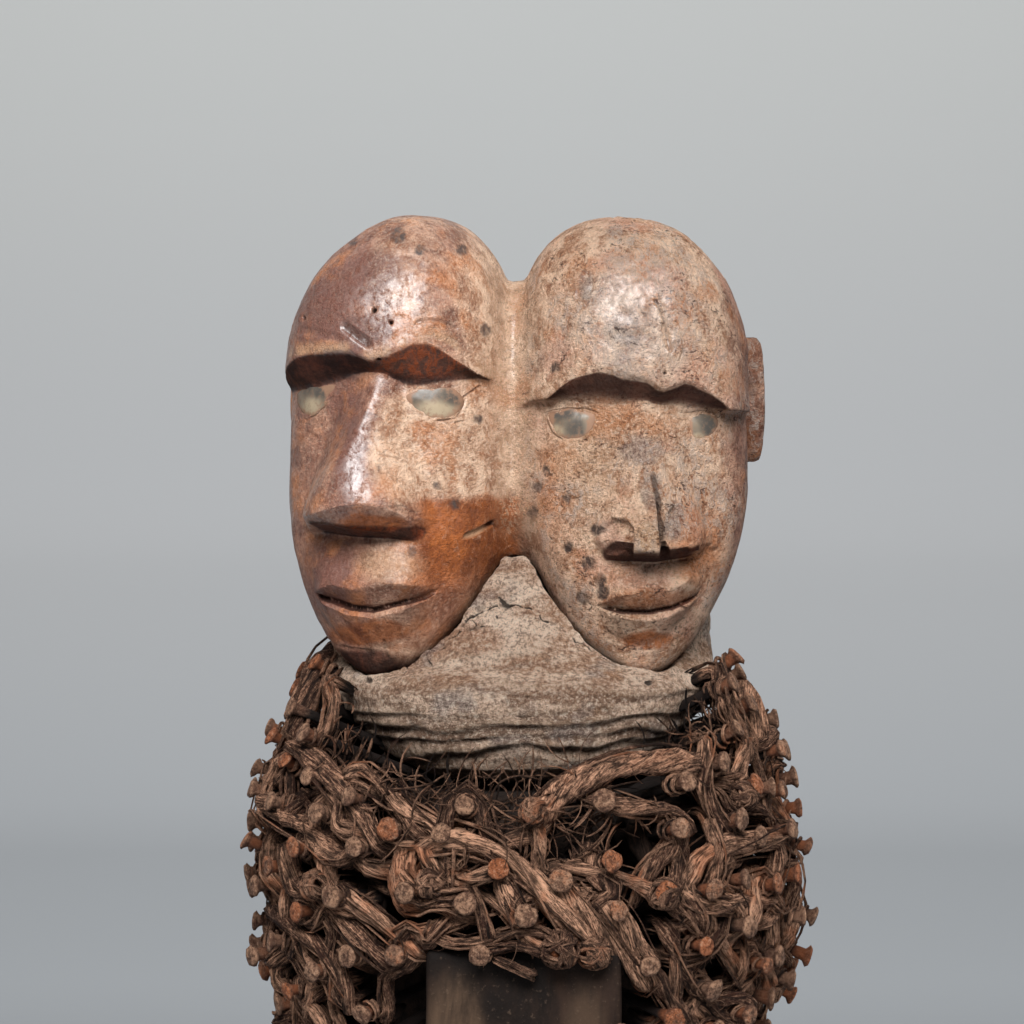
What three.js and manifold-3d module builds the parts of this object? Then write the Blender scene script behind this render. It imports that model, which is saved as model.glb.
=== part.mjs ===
// Nkisi nkondi power figure with two heads side by side on one neck. A single block of wood is
// carved into the heads, neck, torso, legs and low base. A hardened pack is moulded round the neck,
// a sealed box stands on the belly, the eyes are set with glass, and rows of iron nails, bound to
// each other with twisted fibre, stand out all round the torso.
// Millimetres, +Z up. The faces look along -Y. The origin is the centre of the base's underside.
import * as THREE from "three";
import { mergeVertices } from "three/addons/utils/BufferGeometryUtils.js";
import Module from "manifold-3d";

const wasm = await Module();
wasm.setup();

// Driving dimensions
const HEIGHT = 450;
const FIT_GAP = 0.3; // left between two pieces that touch

const HEAD_HEIGHT = 155;
const HEAD_HALF_WIDTH = 39.5;
const CHIN_Z = HEIGHT - HEAD_HEIGHT;

const TORSO_HALF_WIDTH = 57;
const TORSO_HALF_DEPTH = 50;
const HIP_Z = 122;
const SHOULDER_Z = 257;
const NECK_HALF_WIDTH = 34;

const PACK_HALF_WIDTH = 65;
const PACK_BOTTOM_Z = 258.6;

const BOX_WIDTH = 62;
const BOX_HEIGHT = 68;
const BOX_TOP_Z = 212;
const BOX_FRONT = 79; // how far the box's face stands in front of the axis

const BASE_HALF_WIDTH = 62;
const BASE_HALF_DEPTH = 58;
const BASE_HEIGHT = 28;
const FOOT_HEIGHT = 15;

const NAILS_ROUND = 12;
const NAIL_HEAD_RADIUS = 3.6;
const NAIL_HEAD_THICKNESS = 1.7;
const NAIL_SHANK_RADIUS = 1.9;
const BINDING_HALF_HEIGHT = 10.2;
const BINDING_HALF_DEPTH = 9;
const THICKET_DEPTH = 0.93; // its depth as a share of its width
const NAIL_FAN_Z = 218; // the height at which the nails stand level

// Colours
const paint = (color, roughness, metalness = 0) =>
  new THREE.MeshStandardMaterial({ color, roughness, metalness });
const wood = paint(0x8a5a3c, 0.5);
const hardenedClay = paint(0x7d6a58, 0.9);
const boxWood = paint(0x574a3f, 0.7);
const glass = paint(0x9aa39b, 0.15);
const fibre = paint(0x6b4a36, 0.95);
const rustedIron = paint(0x7a4a32, 0.85, 0.4);

// Solids from geometry, and back

function solid(geometry) {
  const bare = new THREE.BufferGeometry();
  bare.setAttribute("position", geometry.getAttribute("position"));
  bare.setIndex(geometry.index);
  const merged = mergeVertices(bare, 1e-4);
  return new wasm.Manifold(
    new wasm.Mesh({
      numProp: 3,
      vertProperties: new Float32Array(merged.attributes.position.array),
      triVerts: new Uint32Array(merged.index.array),
    }),
  );
}

function join(...solids) {
  return solids.reduce((whole, piece) => whole.add(piece));
}

function meshOf(name, shape, material) {
  const made = shape.getMesh();
  const geometry = new THREE.BufferGeometry();
  geometry.setAttribute("position", new THREE.BufferAttribute(made.vertProperties, 3));
  geometry.setIndex(new THREE.BufferAttribute(made.triVerts, 1));
  geometry.computeVertexNormals();
  const mesh = new THREE.Mesh(geometry, material);
  mesh.name = name;
  return mesh;
}

// Skins through rings of points

const radians = THREE.MathUtils.degToRad;

function middleOf(ring) {
  const sum = ring.reduce((total, point) => total.add(point), new THREE.Vector3());
  return sum.divideScalar(ring.length);
}

// A closed skin through rings of points. Each ring runs counterclockwise seen from the far end of
// the stack. A looped stack joins its last ring to its first, and an open one gets two lids.
function skin(rings, looped = false) {
  const count = rings[0].length;
  const points = rings.flat();
  const corners = [];
  const bands = looped ? rings.length : rings.length - 1;
  for (let band = 0; band < bands; band++) {
    const low = band * count;
    const high = ((band + 1) % rings.length) * count;
    for (let i = 0; i < count; i++) {
      const next = (i + 1) % count;
      corners.push(low + i, low + next, high + next);
      corners.push(low + i, high + next, high + i);
    }
  }
  if (!looped) {
    const first = points.push(middleOf(rings[0])) - 1;
    const last = points.push(middleOf(rings.at(-1))) - 1;
    const top = (rings.length - 1) * count;
    for (let i = 0; i < count; i++) {
      const next = (i + 1) % count;
      corners.push(first, next, i);
      corners.push(last, top + i, top + next);
    }
  }
  return new THREE.BufferGeometry().setFromPoints(points).setIndex(corners);
}

// One level ring: a rounded oval between its front and its back, squarer as power grows.
function ovalRing({ z, half, front, back, x = 0, power = 2.3, count = 18 }) {
  const middle = (back - front) / 2;
  const depth = (back + front) / 2;
  const bend = (value) => Math.sign(value) * Math.abs(value) ** (2 / power);
  return Array.from({ length: count }, (_, i) => {
    const turn = (2 * Math.PI * i) / count;
    return new THREE.Vector3(x + half * bend(Math.cos(turn)), middle + depth * bend(Math.sin(turn)), z);
  });
}

function ovalStack(stations, settings = {}, grow = 0) {
  return solid(
    skin(
      stations.map(([z, half, front, back]) =>
        ovalRing({ z, half: half + grow, front: front + grow, back: back + grow, ...settings }),
      ),
    ),
  );
}

function ellipsoid(x, y, z, width, depth, height, sides = 8, rows = 5) {
  const geometry = new THREE.SphereGeometry(1, sides, rows).rotateX(Math.PI / 2);
  return solid(geometry.scale(width, depth, height).translate(x, y, z));
}

// The heads

// What differs between the two faces. Heights are above the floor, and turn is in degrees.
const LEFT_HEAD = {
  side: -1,
  turn: -22,
  x: -40.5,
  top: HEIGHT,
  brow: 402,
  eye: 386,
  nose: 342,
  mouth: 318,
};
const RIGHT_HEAD = {
  side: 1,
  turn: 8,
  x: 36.5,
  top: HEIGHT - 1.5,
  brow: 394,
  eye: 378,
  nose: 335,
  mouth: 316,
};
const BROW_DROP = 10; // the sloping underside of the brow
const BROW_ARCH = 2.5;
const FACE_FRONT = 34;
const EYE_OUT = 22; // from the middle of the face
const EAR_Z = 387;
const CREASE_X = -2;
const CREASE_BOTTOM_Z = 334;
const CREASE_TOP_Z = 428;

// Height, half width, and how far the front and the back stand from the head's own axis.
function headStations({ top, brow }) {
  const wide = HEAD_HALF_WIDTH;
  return [
    [CHIN_Z, wide * 0.2, FACE_FRONT - 3, -16],
    [CHIN_Z + 3, wide * 0.4, FACE_FRONT, -8],
    [CHIN_Z + 9, wide * 0.56, FACE_FRONT + 1, 6],
    [CHIN_Z + 20, wide * 0.75, FACE_FRONT + 1, 22],
    [CHIN_Z + 38, wide * 0.91, FACE_FRONT + 1, 34],
    [CHIN_Z + 58, wide * 0.98, FACE_FRONT, 41],
    [CHIN_Z + 76, wide, FACE_FRONT - 1, 45],
    [brow - BROW_DROP, wide * 0.99, FACE_FRONT - 1, 47],
    [brow, wide * 0.98, FACE_FRONT + 8, 48],
    [brow + 6, wide * 0.97, FACE_FRONT + 8.5, 48],
    [top - 27, wide * 0.9, FACE_FRONT + 4, 45],
    [top - 14, wide * 0.73, FACE_FRONT - 5, 37],
    [top - 5, wide * 0.46, FACE_FRONT - 16, 24],
    [top, wide * 0.14, 5, 9],
  ];
}

// The brow's edge rises over each eye and dips over the nose.
function archedBrow(ring, brow) {
  if (Math.abs(ring[0].z - brow) > 1) return ring;
  for (const point of ring)
    if (point.y < 0) point.z += BROW_ARCH * Math.sin((Math.abs(point.x) / HEAD_HALF_WIDTH) * Math.PI);
  return ring;
}

function skull(head, grow = 0) {
  const rings = headStations(head).map(([z, half, front, back], i, all) =>
    archedBrow(
      ovalRing({
        z: z + (i === 0 ? -grow : i === all.length - 1 ? grow : 0),
        half: half + grow,
        front: front + grow,
        back: back + grow,
      }),
      head.brow,
    ),
  );
  return solid(skin(rings));
}

function nose({ brow, nose: bottom }) {
  const level = (z, backHalf, frontHalf, front) => [
    new THREE.Vector3(-backHalf, 5 - FACE_FRONT, z),
    new THREE.Vector3(-frontHalf, -front, z),
    new THREE.Vector3(frontHalf, -front, z),
    new THREE.Vector3(backHalf, 5 - FACE_FRONT, z),
  ];
  return solid(
    skin([
      level(bottom, 15.5, 9, FACE_FRONT + 12),
      level(bottom + 6, 15, 7, FACE_FRONT + 15),
      level(bottom + 16, 11, 4.5, FACE_FRONT + 11),
      level(brow - BROW_DROP + 2, 8, 3.5, FACE_FRONT + 2),
    ]),
  );
}

function lips({ mouth }) {
  const front = 3 - FACE_FRONT;
  return join(
    ellipsoid(0, front, mouth + 4, 16.5, 9, 4.6),
    ellipsoid(0, front + 1, mouth - 5, 14.5, 9, 5.2),
  );
}

function ear({ side }) {
  return ellipsoid(side * (HEAD_HALF_WIDTH + 1), 9, EAR_Z, 6, 8, 21);
}

function placedHead(head, shape) {
  return shape.rotate([0, 0, head.turn]).translate([head.x, 0, 0]);
}

function carvedHead(head) {
  return placedHead(head, join(skull(head), nose(head), lips(head), ear(head)));
}

// The wood between the heads, which joins them along a crease that lies back from both faces.
function crease() {
  return ovalStack(
    [
      [CREASE_BOTTOM_Z, 3, 4, 14],
      [CREASE_BOTTOM_Z + 14, 8, 13, 30],
      [CREASE_TOP_Z - 34, 10, 15, 34],
      [CREASE_TOP_Z - 10, 11, 9, 30],
      [CREASE_TOP_Z, 7, 1, 18],
    ],
    { x: CREASE_X, count: 8, power: 2 },
  );
}

// One glass chip, or the bed it sits in when grown. The inner and outer eye mirror each other.
function eyeLens(head, eyeSide, grow = 0) {
  const width = 9 + grow;
  const shape = ellipsoid(eyeSide * EYE_OUT, 5.5 - FACE_FRONT, head.eye, width, 3.2 + grow, 4.8 + grow);
  return placedHead(head, shape);
}

// Neck, torso, legs and base

function neck(grow = 0) {
  const wide = NECK_HALF_WIDTH;
  return ovalStack(
    [
      [SHOULDER_Z - 12, wide, 28, 30],
      [PACK_BOTTOM_Z + 12, wide, 27, 30],
      [CHIN_Z + 22, wide + 4, 22, 32],
    ],
    { count: 12 },
    grow,
  );
}

function torso(grow = 0) {
  const wide = TORSO_HALF_WIDTH;
  const deep = TORSO_HALF_DEPTH;
  return ovalStack(
    [
      [HIP_Z - 10 - grow, wide * 0.5, deep * 0.4, deep * 0.5],
      [HIP_Z, wide * 0.84, deep * 0.76, deep * 0.86],
      [HIP_Z + 16, wide * 0.95, deep * 0.93, deep],
      [200, wide, deep, deep],
      [236, wide, deep * 0.97, deep * 0.97],
      [250, wide * 0.93, deep * 0.9, deep * 0.9],
      [SHOULDER_Z + grow, wide * 0.78, deep * 0.76, deep * 0.76],
    ],
    { count: 14 },
    grow,
  );
}

// A stubby leg with a bent knee, on a foot that is a plain block.
function leg(side) {
  const x = side * 27;
  const stations = [
    [BASE_HEIGHT + 4, 15, 14, 22],
    [BASE_HEIGHT + 18, 16, 14, 21],
    [BASE_HEIGHT + 38, 21, 20, 22],
    [BASE_HEIGHT + 56, 20, 28, 15],
    [BASE_HEIGHT + 74, 23, 27, 24],
    [HIP_Z + 6, 25, 26, 33],
  ];
  const foot = ovalStack(
    [
      [BASE_HEIGHT - 2, 17, 44, 24],
      [BASE_HEIGHT + FOOT_HEIGHT * 0.6, 17, 43, 23],
      [BASE_HEIGHT + FOOT_HEIGHT, 12, 26, 20],
    ],
    { x, power: 3, count: 12 },
  );
  return join(ovalStack(stations, { x, count: 10 }), foot);
}

function base() {
  const station = (z, inset) => [z, BASE_HALF_WIDTH - inset, BASE_HALF_DEPTH - inset, BASE_HALF_DEPTH - inset];
  return ovalStack([station(0, 0), station(BASE_HEIGHT - 4, 1), station(BASE_HEIGHT, 5)], {
    power: 4,
    count: 20,
  });
}

// The pack, moulded as a bowl round the neck and heaped up between the chins

function packStack(grow = 0) {
  const wide = PACK_HALF_WIDTH;
  return ovalStack(
    [
      [PACK_BOTTOM_Z - grow, wide * 0.6, 37, 36],
      [PACK_BOTTOM_Z + 5, wide * 0.76, 45, 44],
      [PACK_BOTTOM_Z + 14, wide * 0.9, 50, 51],
      [CHIN_Z - 9, wide * 0.98, 51, 55],
      [CHIN_Z + 2, wide, 46, 55],
      [CHIN_Z + 13, wide * 0.97, 40, 53],
      [CHIN_Z + 24, wide * 0.5, 36, 44],
      [CHIN_Z + 38, wide * 0.15, 30, 20],
    ],
    { count: 18, power: 2.1 },
    grow,
  );
}

// The box on the belly

function boxShape(grow = 0) {
  const size = [BOX_WIDTH + 2 * grow, BOX_FRONT - 20 + 2 * grow, BOX_HEIGHT + 2 * grow];
  const box = new THREE.BoxGeometry(...size);
  return solid(box.translate(0, -(BOX_FRONT + 20) / 2, BOX_TOP_Z - BOX_HEIGHT / 2));
}

// Nails and the fibre that binds them

// The outline that the nail heads keep to: height, and distance from the axis.
const THICKET_OUTLINE = [
  [132, 66],
  [152, 81],
  [180, 89.5],
  [208, 95.5],
  [226, 97],
  [250, 95],
  [265, 92],
  [286, 83],
  [302, 72],
];

function thicketRadius(z) {
  const last = THICKET_OUTLINE.length - 2;
  const found = THICKET_OUTLINE.findIndex(([top]) => z < top) - 1;
  const i = THREE.MathUtils.clamp(found < -1 ? last : found, 0, last);
  const [z0, r0] = THICKET_OUTLINE[i];
  const [z1, r1] = THICKET_OUTLINE[i + 1];
  return THREE.MathUtils.mapLinear(z, z0, z1, r0, r1);
}

// A number from -1 to 1 that is always the same for the same row and place.
function wobble(row, place, salt) {
  const spun = Math.sin(row * 12.9898 + place * 78.233 + salt * 37.719) * 43758.5453;
  return 2 * (spun - Math.floor(spun)) - 1;
}

// A point at a bearing from the front, turning towards +X, at a height and distance from the axis.
function around(bearing, distance, z) {
  return new THREE.Vector3(distance * Math.sin(bearing), -THICKET_DEPTH * distance * Math.cos(bearing), z);
}

// A nail's line, from inside the torso to the outer face of its head.
function nailLine(bearing, z) {
  const rootZ = NAIL_FAN_Z + (z - NAIL_FAN_Z) * 0.4;
  return new THREE.Line3(around(bearing, 30, rootZ), around(bearing, thicketRadius(z), z));
}

// A shank and its head, on the stretch of the line from a share of its length to its end.
function nailShape(line, from = 0) {
  const along = line.delta(new THREE.Vector3());
  const length = along.length();
  const turn = new THREE.Quaternion().setFromUnitVectors(new THREE.Vector3(0, 1, 0), along.normalize());
  const put = (geometry, middle) =>
    solid(geometry.translate(0, middle, 0).applyQuaternion(turn).translate(...line.start.toArray()));
  const rim = NAIL_HEAD_RADIUS;
  const shankLength = length * (1 - from) - NAIL_HEAD_THICKNESS / 2;
  const shank = new THREE.CylinderGeometry(NAIL_SHANK_RADIUS, NAIL_SHANK_RADIUS, shankLength, 3);
  const cap = new THREE.CylinderGeometry(rim, rim * 0.9, NAIL_HEAD_THICKNESS, 6);
  return join(
    put(shank, length * from + shankLength / 2),
    put(cap, length - NAIL_HEAD_THICKNESS / 2),
  );
}

// A thick six-sided band of fibre along points. Its size swells where it wraps a nail.
function band(points, swell, looped) {
  const path = new THREE.CatmullRomCurve3(points, looped);
  const rings = points.map((point, i) => {
    const share = looped ? i / points.length : i / (points.length - 1);
    const along = path.getTangent(share);
    const out = new THREE.Vector3(point.x, point.y, 0).normalize();
    const side = new THREE.Vector3().crossVectors(along, out).normalize();
    const up = new THREE.Vector3().crossVectors(side, along);
    return Array.from({ length: 6 }, (_, k) => {
      const turn = (2 * Math.PI * k) / 6;
      return point
        .clone()
        .addScaledVector(side, swell(i) * BINDING_HALF_HEIGHT * Math.cos(turn))
        .addScaledVector(up, -swell(i) * BINDING_HALF_DEPTH * Math.sin(turn));
    });
  });
  return solid(skin(rings, looped));
}

// Each row: its height at the sides, how far it dips at the front, and the bearing in degrees, on
// each side of the front, that it keeps clear.
const ROWS = [
  { name: "bound_nails_row_1", z: 152, dip: 0, clear: 30 },
  { name: "bound_nails_row_2", z: 181, dip: 0, clear: 30 },
  { name: "bound_nails_row_3", z: 209, dip: -6, clear: 0 },
  { name: "bound_nails_row_4", z: 236, dip: -1, clear: 0 },
  { name: "bound_nails_row_5", z: 262, dip: 5, clear: 0 },
  { name: "bound_nails_row_6", z: 287, dip: 6, clear: 58 },
];

// The nails of a row alternate up and down, in step with the rows above and below. Its binding
// winds past them a little below their heads and hides their shanks, and one nail in LONG_EVERY
// shows its shank down to the torso.
const LONG_EVERY = 4;
const BINDING_SHARE = 0.78; // how far out along a nail its binding lies

function boundRow(row, index) {
  const step = (2 * Math.PI) / NAILS_ROUND;
  const looped = row.clear === 0;
  const places = [...Array(NAILS_ROUND).keys()]
    .map((place) => ({ place, bearing: (place + 0.5) * step }))
    .filter(({ bearing }) => looped || Math.cos(bearing) < Math.cos(radians(row.clear)));
  const frontness = places.map(({ bearing }) => Math.max(0, Math.cos(bearing)) ** 2);
  const lines = places.map(({ place, bearing }, i) => {
    const lift = (place % 2 ? 5 : -5) + wobble(index, place, 2);
    const turned = bearing + 0.12 * step * wobble(index, place, 1);
    return nailLine(turned, row.z - row.dip * frontness[i] + lift);
  });
  const knots = lines.map((line) => line.at(BINDING_SHARE, new THREE.Vector3()));
  const path = knots.flatMap((knot, i) => {
    const next = knots[(i + 1) % knots.length];
    return !looped && i === knots.length - 1 ? [knot] : [knot, knot.clone().lerp(next, 0.5)];
  });
  const thinned = (i) => (!looped && (i === 0 || i === path.length - 1) ? 0.5 : 1);
  const swell = (i) => thinned(i) * (i % 2 ? 0.86 : 1.04) * (1 - 0.24 * frontness[Math.floor(i / 2)]);
  const nails = lines.map((line, i) =>
    nailShape(line, places[i].place % LONG_EVERY === 1 ? 0 : BINDING_SHARE),
  );
  return join(band(path, swell, looped), ...nails);
}

// Single nails that stand clear of the binding, by bearing in degrees and height.
const SINGLE_NAILS = {
  nail_left_shoulder: [-102, 302],
  nail_left_back: [-140, 303],
  nail_back: [-178, 302],
  nail_right_back: [141, 303],
  nail_right_shoulder: [103, 303],
  nail_under_left: [-90, 136],
  nail_under_right: [90, 136],
};

// The whole object

const HEADS = { left: LEFT_HEAD, right: RIGHT_HEAD };
const EYES = { outer: 1, inner: -1 };

const blankBody = join(crease(), neck(), torso(), leg(-1), leg(1), base());
const blankHeads = Object.values(HEADS).map(carvedHead);
let figure = join(blankBody, ...blankHeads);

const parts = new THREE.Group();
for (const [headName, head] of Object.entries(HEADS))
  for (const [eyeName, away] of Object.entries(EYES)) {
    const eyeSide = away * head.side;
    figure = figure.subtract(eyeLens(head, eyeSide, FIT_GAP));
    parts.add(meshOf(`glass_eye_${headName}_head_${eyeName}`, eyeLens(head, eyeSide), glass));
  }

// The box is let into the belly, so the torso is cut back for it.
figure = figure.subtract(boxShape(FIT_GAP));
parts.add(meshOf("carved_figure", figure, wood));
parts.add(meshOf("belly_box", boxShape(), boxWood));

const grownHeads = Object.values(HEADS).map((head) => placedHead(head, skull(head, FIT_GAP)));
const pack = packStack().subtract(join(neck(FIT_GAP), ...grownHeads)).subtract(join(...blankHeads));
const packPieces = pack.decompose().sort((a, b) => b.volume() - a.volume());
parts.add(meshOf("neck_pack", packPieces[0], hardenedClay));

const keptClear = join(torso(FIT_GAP), boxShape(FIT_GAP), neck(FIT_GAP), packStack(FIT_GAP));
const rows = ROWS.map((row, index) => boundRow(row, index).subtract(keptClear));
const largest = (shape) => shape.decompose().sort((a, b) => b.volume() - a.volume())[0];
rows.forEach((shape, i) => parts.add(meshOf(ROWS[i].name, largest(shape), fibre)));

for (const [name, [bearing, z]] of Object.entries(SINGLE_NAILS)) {
  const nail = nailShape(nailLine(radians(bearing), z)).subtract(keptClear);
  parts.add(meshOf(name, largest(nail), rustedIron));
}

export default parts;
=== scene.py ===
# %% [markdown]
# A nkisi nkondi figure has two heads on one neck, a hardened pack moulded under their chins, a box
# on its belly, and iron nails all round its torso, bound to each other with twisted plant fibre.
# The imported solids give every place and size. This script dresses them: it carves the wood finely,
# drives in every nail, winds the fibre, and gives each surface its finish.

import math

import bpy
import numpy as np
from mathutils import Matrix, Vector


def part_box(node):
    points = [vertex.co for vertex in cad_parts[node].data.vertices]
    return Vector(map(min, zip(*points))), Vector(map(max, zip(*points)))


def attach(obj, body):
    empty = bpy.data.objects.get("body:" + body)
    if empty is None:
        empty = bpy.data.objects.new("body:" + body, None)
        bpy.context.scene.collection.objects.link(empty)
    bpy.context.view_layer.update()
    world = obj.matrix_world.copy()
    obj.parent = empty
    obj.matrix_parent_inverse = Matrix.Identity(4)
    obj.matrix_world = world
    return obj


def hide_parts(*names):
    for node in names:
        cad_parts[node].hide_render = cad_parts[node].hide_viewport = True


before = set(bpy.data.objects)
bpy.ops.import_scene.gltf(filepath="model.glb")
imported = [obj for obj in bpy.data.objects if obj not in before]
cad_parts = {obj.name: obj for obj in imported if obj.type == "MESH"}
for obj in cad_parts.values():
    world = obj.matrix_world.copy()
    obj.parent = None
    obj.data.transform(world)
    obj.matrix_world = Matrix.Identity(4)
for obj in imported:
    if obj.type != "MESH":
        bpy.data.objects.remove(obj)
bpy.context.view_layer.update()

MM = 1000.0  # millimetres in a metre: shapes are worked out in millimetres


def node_box(node):
    """A node's lowest and highest corner, in millimetres."""
    low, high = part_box(node)
    return np.array(low) * MM, np.array(high) * MM


FIGURE_LOW, FIGURE_HIGH = node_box("carved_figure")
HEIGHT = FIGURE_HIGH[2]
print("the figure stands", round(HEIGHT), "mm tall")

# %% [markdown]
# The camera comes first, because worm holes, gashes and the nails that the photograph shows best
# are placed by where they are seen in it. The picture is 1024 pixels wide. The camera stands level
# with the noses, straight in front of the box on the belly. The viewer's left head turns well away
# from it, and the right head a little the other way.

# %% The camera, and the way from the picture to the figure and back
PICTURE = 1024  # pixels each way
CAMERA_TURN = math.radians(0.0)  # round the figure, towards the viewer's right
CAMERA_DISTANCE = 1000.0
EYE_LEVEL = 349.0
AXIS_COLUMN = 523.0  # the picture's column in which the figure's axis stands
PIXEL = 0.34  # millimetres at the axis for each pixel
SENSOR = 36.0

RIGHTWARD = np.array([math.cos(CAMERA_TURN), math.sin(CAMERA_TURN), 0.0])
INWARD = np.array([-math.sin(CAMERA_TURN), math.cos(CAMERA_TURN), 0.0])
UPWARD = np.array([0.0, 0.0, 1.0])
CAMERA_SIDE = (PICTURE / 2 - AXIS_COLUMN) * PIXEL
CAMERA = CAMERA_SIDE * RIGHTWARD - CAMERA_DISTANCE * INWARD + EYE_LEVEL * UPWARD
PIXELS_PER_SLOPE = CAMERA_DISTANCE / PIXEL


def to_picture(points):
    """Column and row of the picture at which points are seen."""
    away = points - CAMERA
    depth = away @ INWARD
    column = PICTURE / 2 + away @ RIGHTWARD / depth * PIXELS_PER_SLOPE
    row = PICTURE / 2 - away[..., 2] / depth * PIXELS_PER_SLOPE
    return column, row


def sight_line(column, row):
    """The direction in which the camera sees a place of the picture, one unit deep."""
    aside = (column - PICTURE / 2) * RIGHTWARD - (row - PICTURE / 2) * UPWARD
    return INWARD + aside / PIXELS_PER_SLOPE


def make_camera():
    data = bpy.data.cameras.new("photograph")
    data.sensor_width = SENSOR
    data.lens = SENSOR * CAMERA_DISTANCE / (PICTURE * PIXEL)
    data.clip_start = 0.01
    camera = bpy.data.objects.new("photograph", data)
    camera.location = CAMERA / MM
    camera.rotation_euler = (math.radians(90), 0, CAMERA_TURN)
    bpy.context.collection.objects.link(camera)
    bpy.context.scene.camera = camera
    print("the lens is", round(data.lens, 1), "mm")


make_camera()

# %% [markdown]
# The forms are carved as fields: functions of a place in space that are below zero inside the wood
# and above it outside. Two forms join or cut each other with a rounded edge when the smaller or
# larger of their fields is taken softly, much as a carver eases an edge with a knife.

# %% Soft joins, curves through stations, and noise


def soft_min(a, b, ease):
    """The smaller of two fields, with the corner between them eased."""
    share = np.clip(0.5 + 0.5 * (b - a) / ease, 0, 1)
    return b + (a - b) * share - ease * share * (1 - share)


def soft_max(a, b, ease):
    return -soft_min(-a, -b, ease)


def through(stations, place):
    """A smooth curve through (place, value) stations, level beyond both ends."""
    places, values = np.array(stations, dtype=np.float32).T
    slopes = np.gradient(values, places)
    held = np.clip(place, places[0], places[-1])
    i = np.clip(np.searchsorted(places, held) - 1, 0, len(places) - 2)
    width = places[i + 1] - places[i]
    t = (held - places[i]) / width
    rise = t * t * (3 - 2 * t)
    bend_in = t * (1 - t) ** 2 * width * slopes[i]
    bend_out = t * t * (1 - t) * width * slopes[i + 1]
    return values[i] + (values[i + 1] - values[i]) * rise + bend_in - bend_out


def step(value, low, high):
    """0 below low, 1 above high, and a smooth rise between them."""
    t = np.clip((value - low) / (high - low), 0, 1)
    return t * t * (3 - 2 * t)


def closing(t, power):
    """The width left at a share t of the way to the end of a rounded form."""
    return (1 - np.clip(t, 0, 0.9999) ** power) ** (1 / power)


LATTICE = np.random.default_rng(7).uniform(-1, 1, 4096).astype(np.float32)
LATTICE_PRIMES = np.array([73856093, 19349663, 83492791])  # they scatter a cell's place over the lattice
SEED_STEP = 2654435


def noise(points, size, seed=0):
    """Smooth noise from -1 to 1 with lumps of a size in millimetres."""
    place = points / size
    cell = np.floor(place).astype(np.int64)
    part = (place - cell).astype(np.float32)
    fade = part * part * (3 - 2 * part)
    total = np.zeros(points.shape[:-1], dtype=np.float32)
    for corner in np.ndindex(2, 2, 2):
        ids = cell + np.array(corner)
        mixed = ids * LATTICE_PRIMES
        mixed = mixed[..., 0] ^ mixed[..., 1] ^ mixed[..., 2] ^ seed * SEED_STEP
        weight = np.prod(np.where(corner, fade, 1 - fade), axis=-1)
        total += LATTICE[mixed & (len(LATTICE) - 1)] * weight
    return total


def rough_noise(points, size, seed=0, octaves=3):
    """Noise with finer and finer lumps laid over it."""
    return sum(noise(points, size / 2**k, seed + k) / 2**k for k in range(octaves))


# %% [markdown]
# Each head has its own axes: across the face, out of the face, and up. The eye nodes say where a
# head stands and how far it is turned. Before it has a face, a head is an ovoid made of ovals
# stacked by height, which close in at the crown and the jaw.

# %% Where the heads stand, and their plain form
EYE_DEPTH = 28.5  # how far the eye nodes' centres stand in front of a head's axis
HEAD_TALL = 155.0
JAW_SHARE = 66.0  # the height over which the jaw closes
CROWN_SHARE = 54.0
SECTION_POWER = 2.3
CHEEK_POWER = 0.4  # how much squarer the ovals are between chin and brow
# Height over the chin, and there the middle and the depth of the oval.
SECTION_MIDDLE = [(0, 14), (12, 12), (25, 7), (45, 0), (70, -5), (155, -6)]
SECTION_DEPTH = [(0, 17), (12, 19.5), (25, 27.5), (45, 35.5), (70, 39.5), (155, 41)]


class Head:
    """One head's place and turn, from its two eye nodes."""

    def __init__(self, side, nodes, top, half, crown_power, jaw_power, lean):
        centres = sorted((sum(node_box(node)) / 2 for node in nodes), key=lambda centre: centre[0])
        across = centres[1] - centres[0]
        turn = math.atan2(across[1], across[0])
        self.side = side
        self.across = np.array([math.cos(turn), math.sin(turn), 0.0])
        self.out = np.array([math.sin(turn), -math.cos(turn), 0.0])
        self.axis = (centres[0] + centres[1]) / 2 - EYE_DEPTH * self.out
        self.eye_z = centres[0][2]
        self.top = top
        self.half = half
        self.crown_power = crown_power
        self.jaw_power = jaw_power
        self.lean = lean
        print("a head stands at", np.round(self.axis[:2], 1), "turned", round(math.degrees(turn), 1))

    def local(self, x, y):
        """How far across and out of the head places are."""
        dx = x - self.axis[0]
        dy = y - self.axis[1]
        return dx * self.across[0] + dy * self.across[1], dx * self.out[0] + dy * self.out[1]

    def world(self, u, v, z):
        """Where places given across, out and up stand round the figure."""
        places = np.stack(np.broadcast_arrays(u, v, z), axis=-1)
        return places @ np.array([self.across, self.out, UPWARD]) + self.axis * (1, 1, 0)


LEFT_EYES = ("glass_eye_left_head_outer", "glass_eye_left_head_inner")
RIGHT_EYES = ("glass_eye_right_head_inner", "glass_eye_right_head_outer")
LEFT = Head(-1, LEFT_EYES, HEIGHT - 0.8, 37.6, 2.05, 1.85, 7.0)
RIGHT = Head(1, RIGHT_EYES, HEIGHT - 1.5, 39.4, 2.32, 1.66, -5.0)


def oval(u, v, half, middle, depth, power=SECTION_POWER):
    """An oval column's field: below zero inside, in millimetres near its surface."""
    spread = np.abs(u / half) ** power + np.abs((v - middle) / depth) ** power
    return (spread ** (1 / power) - 1) * np.minimum(half, depth)


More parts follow.
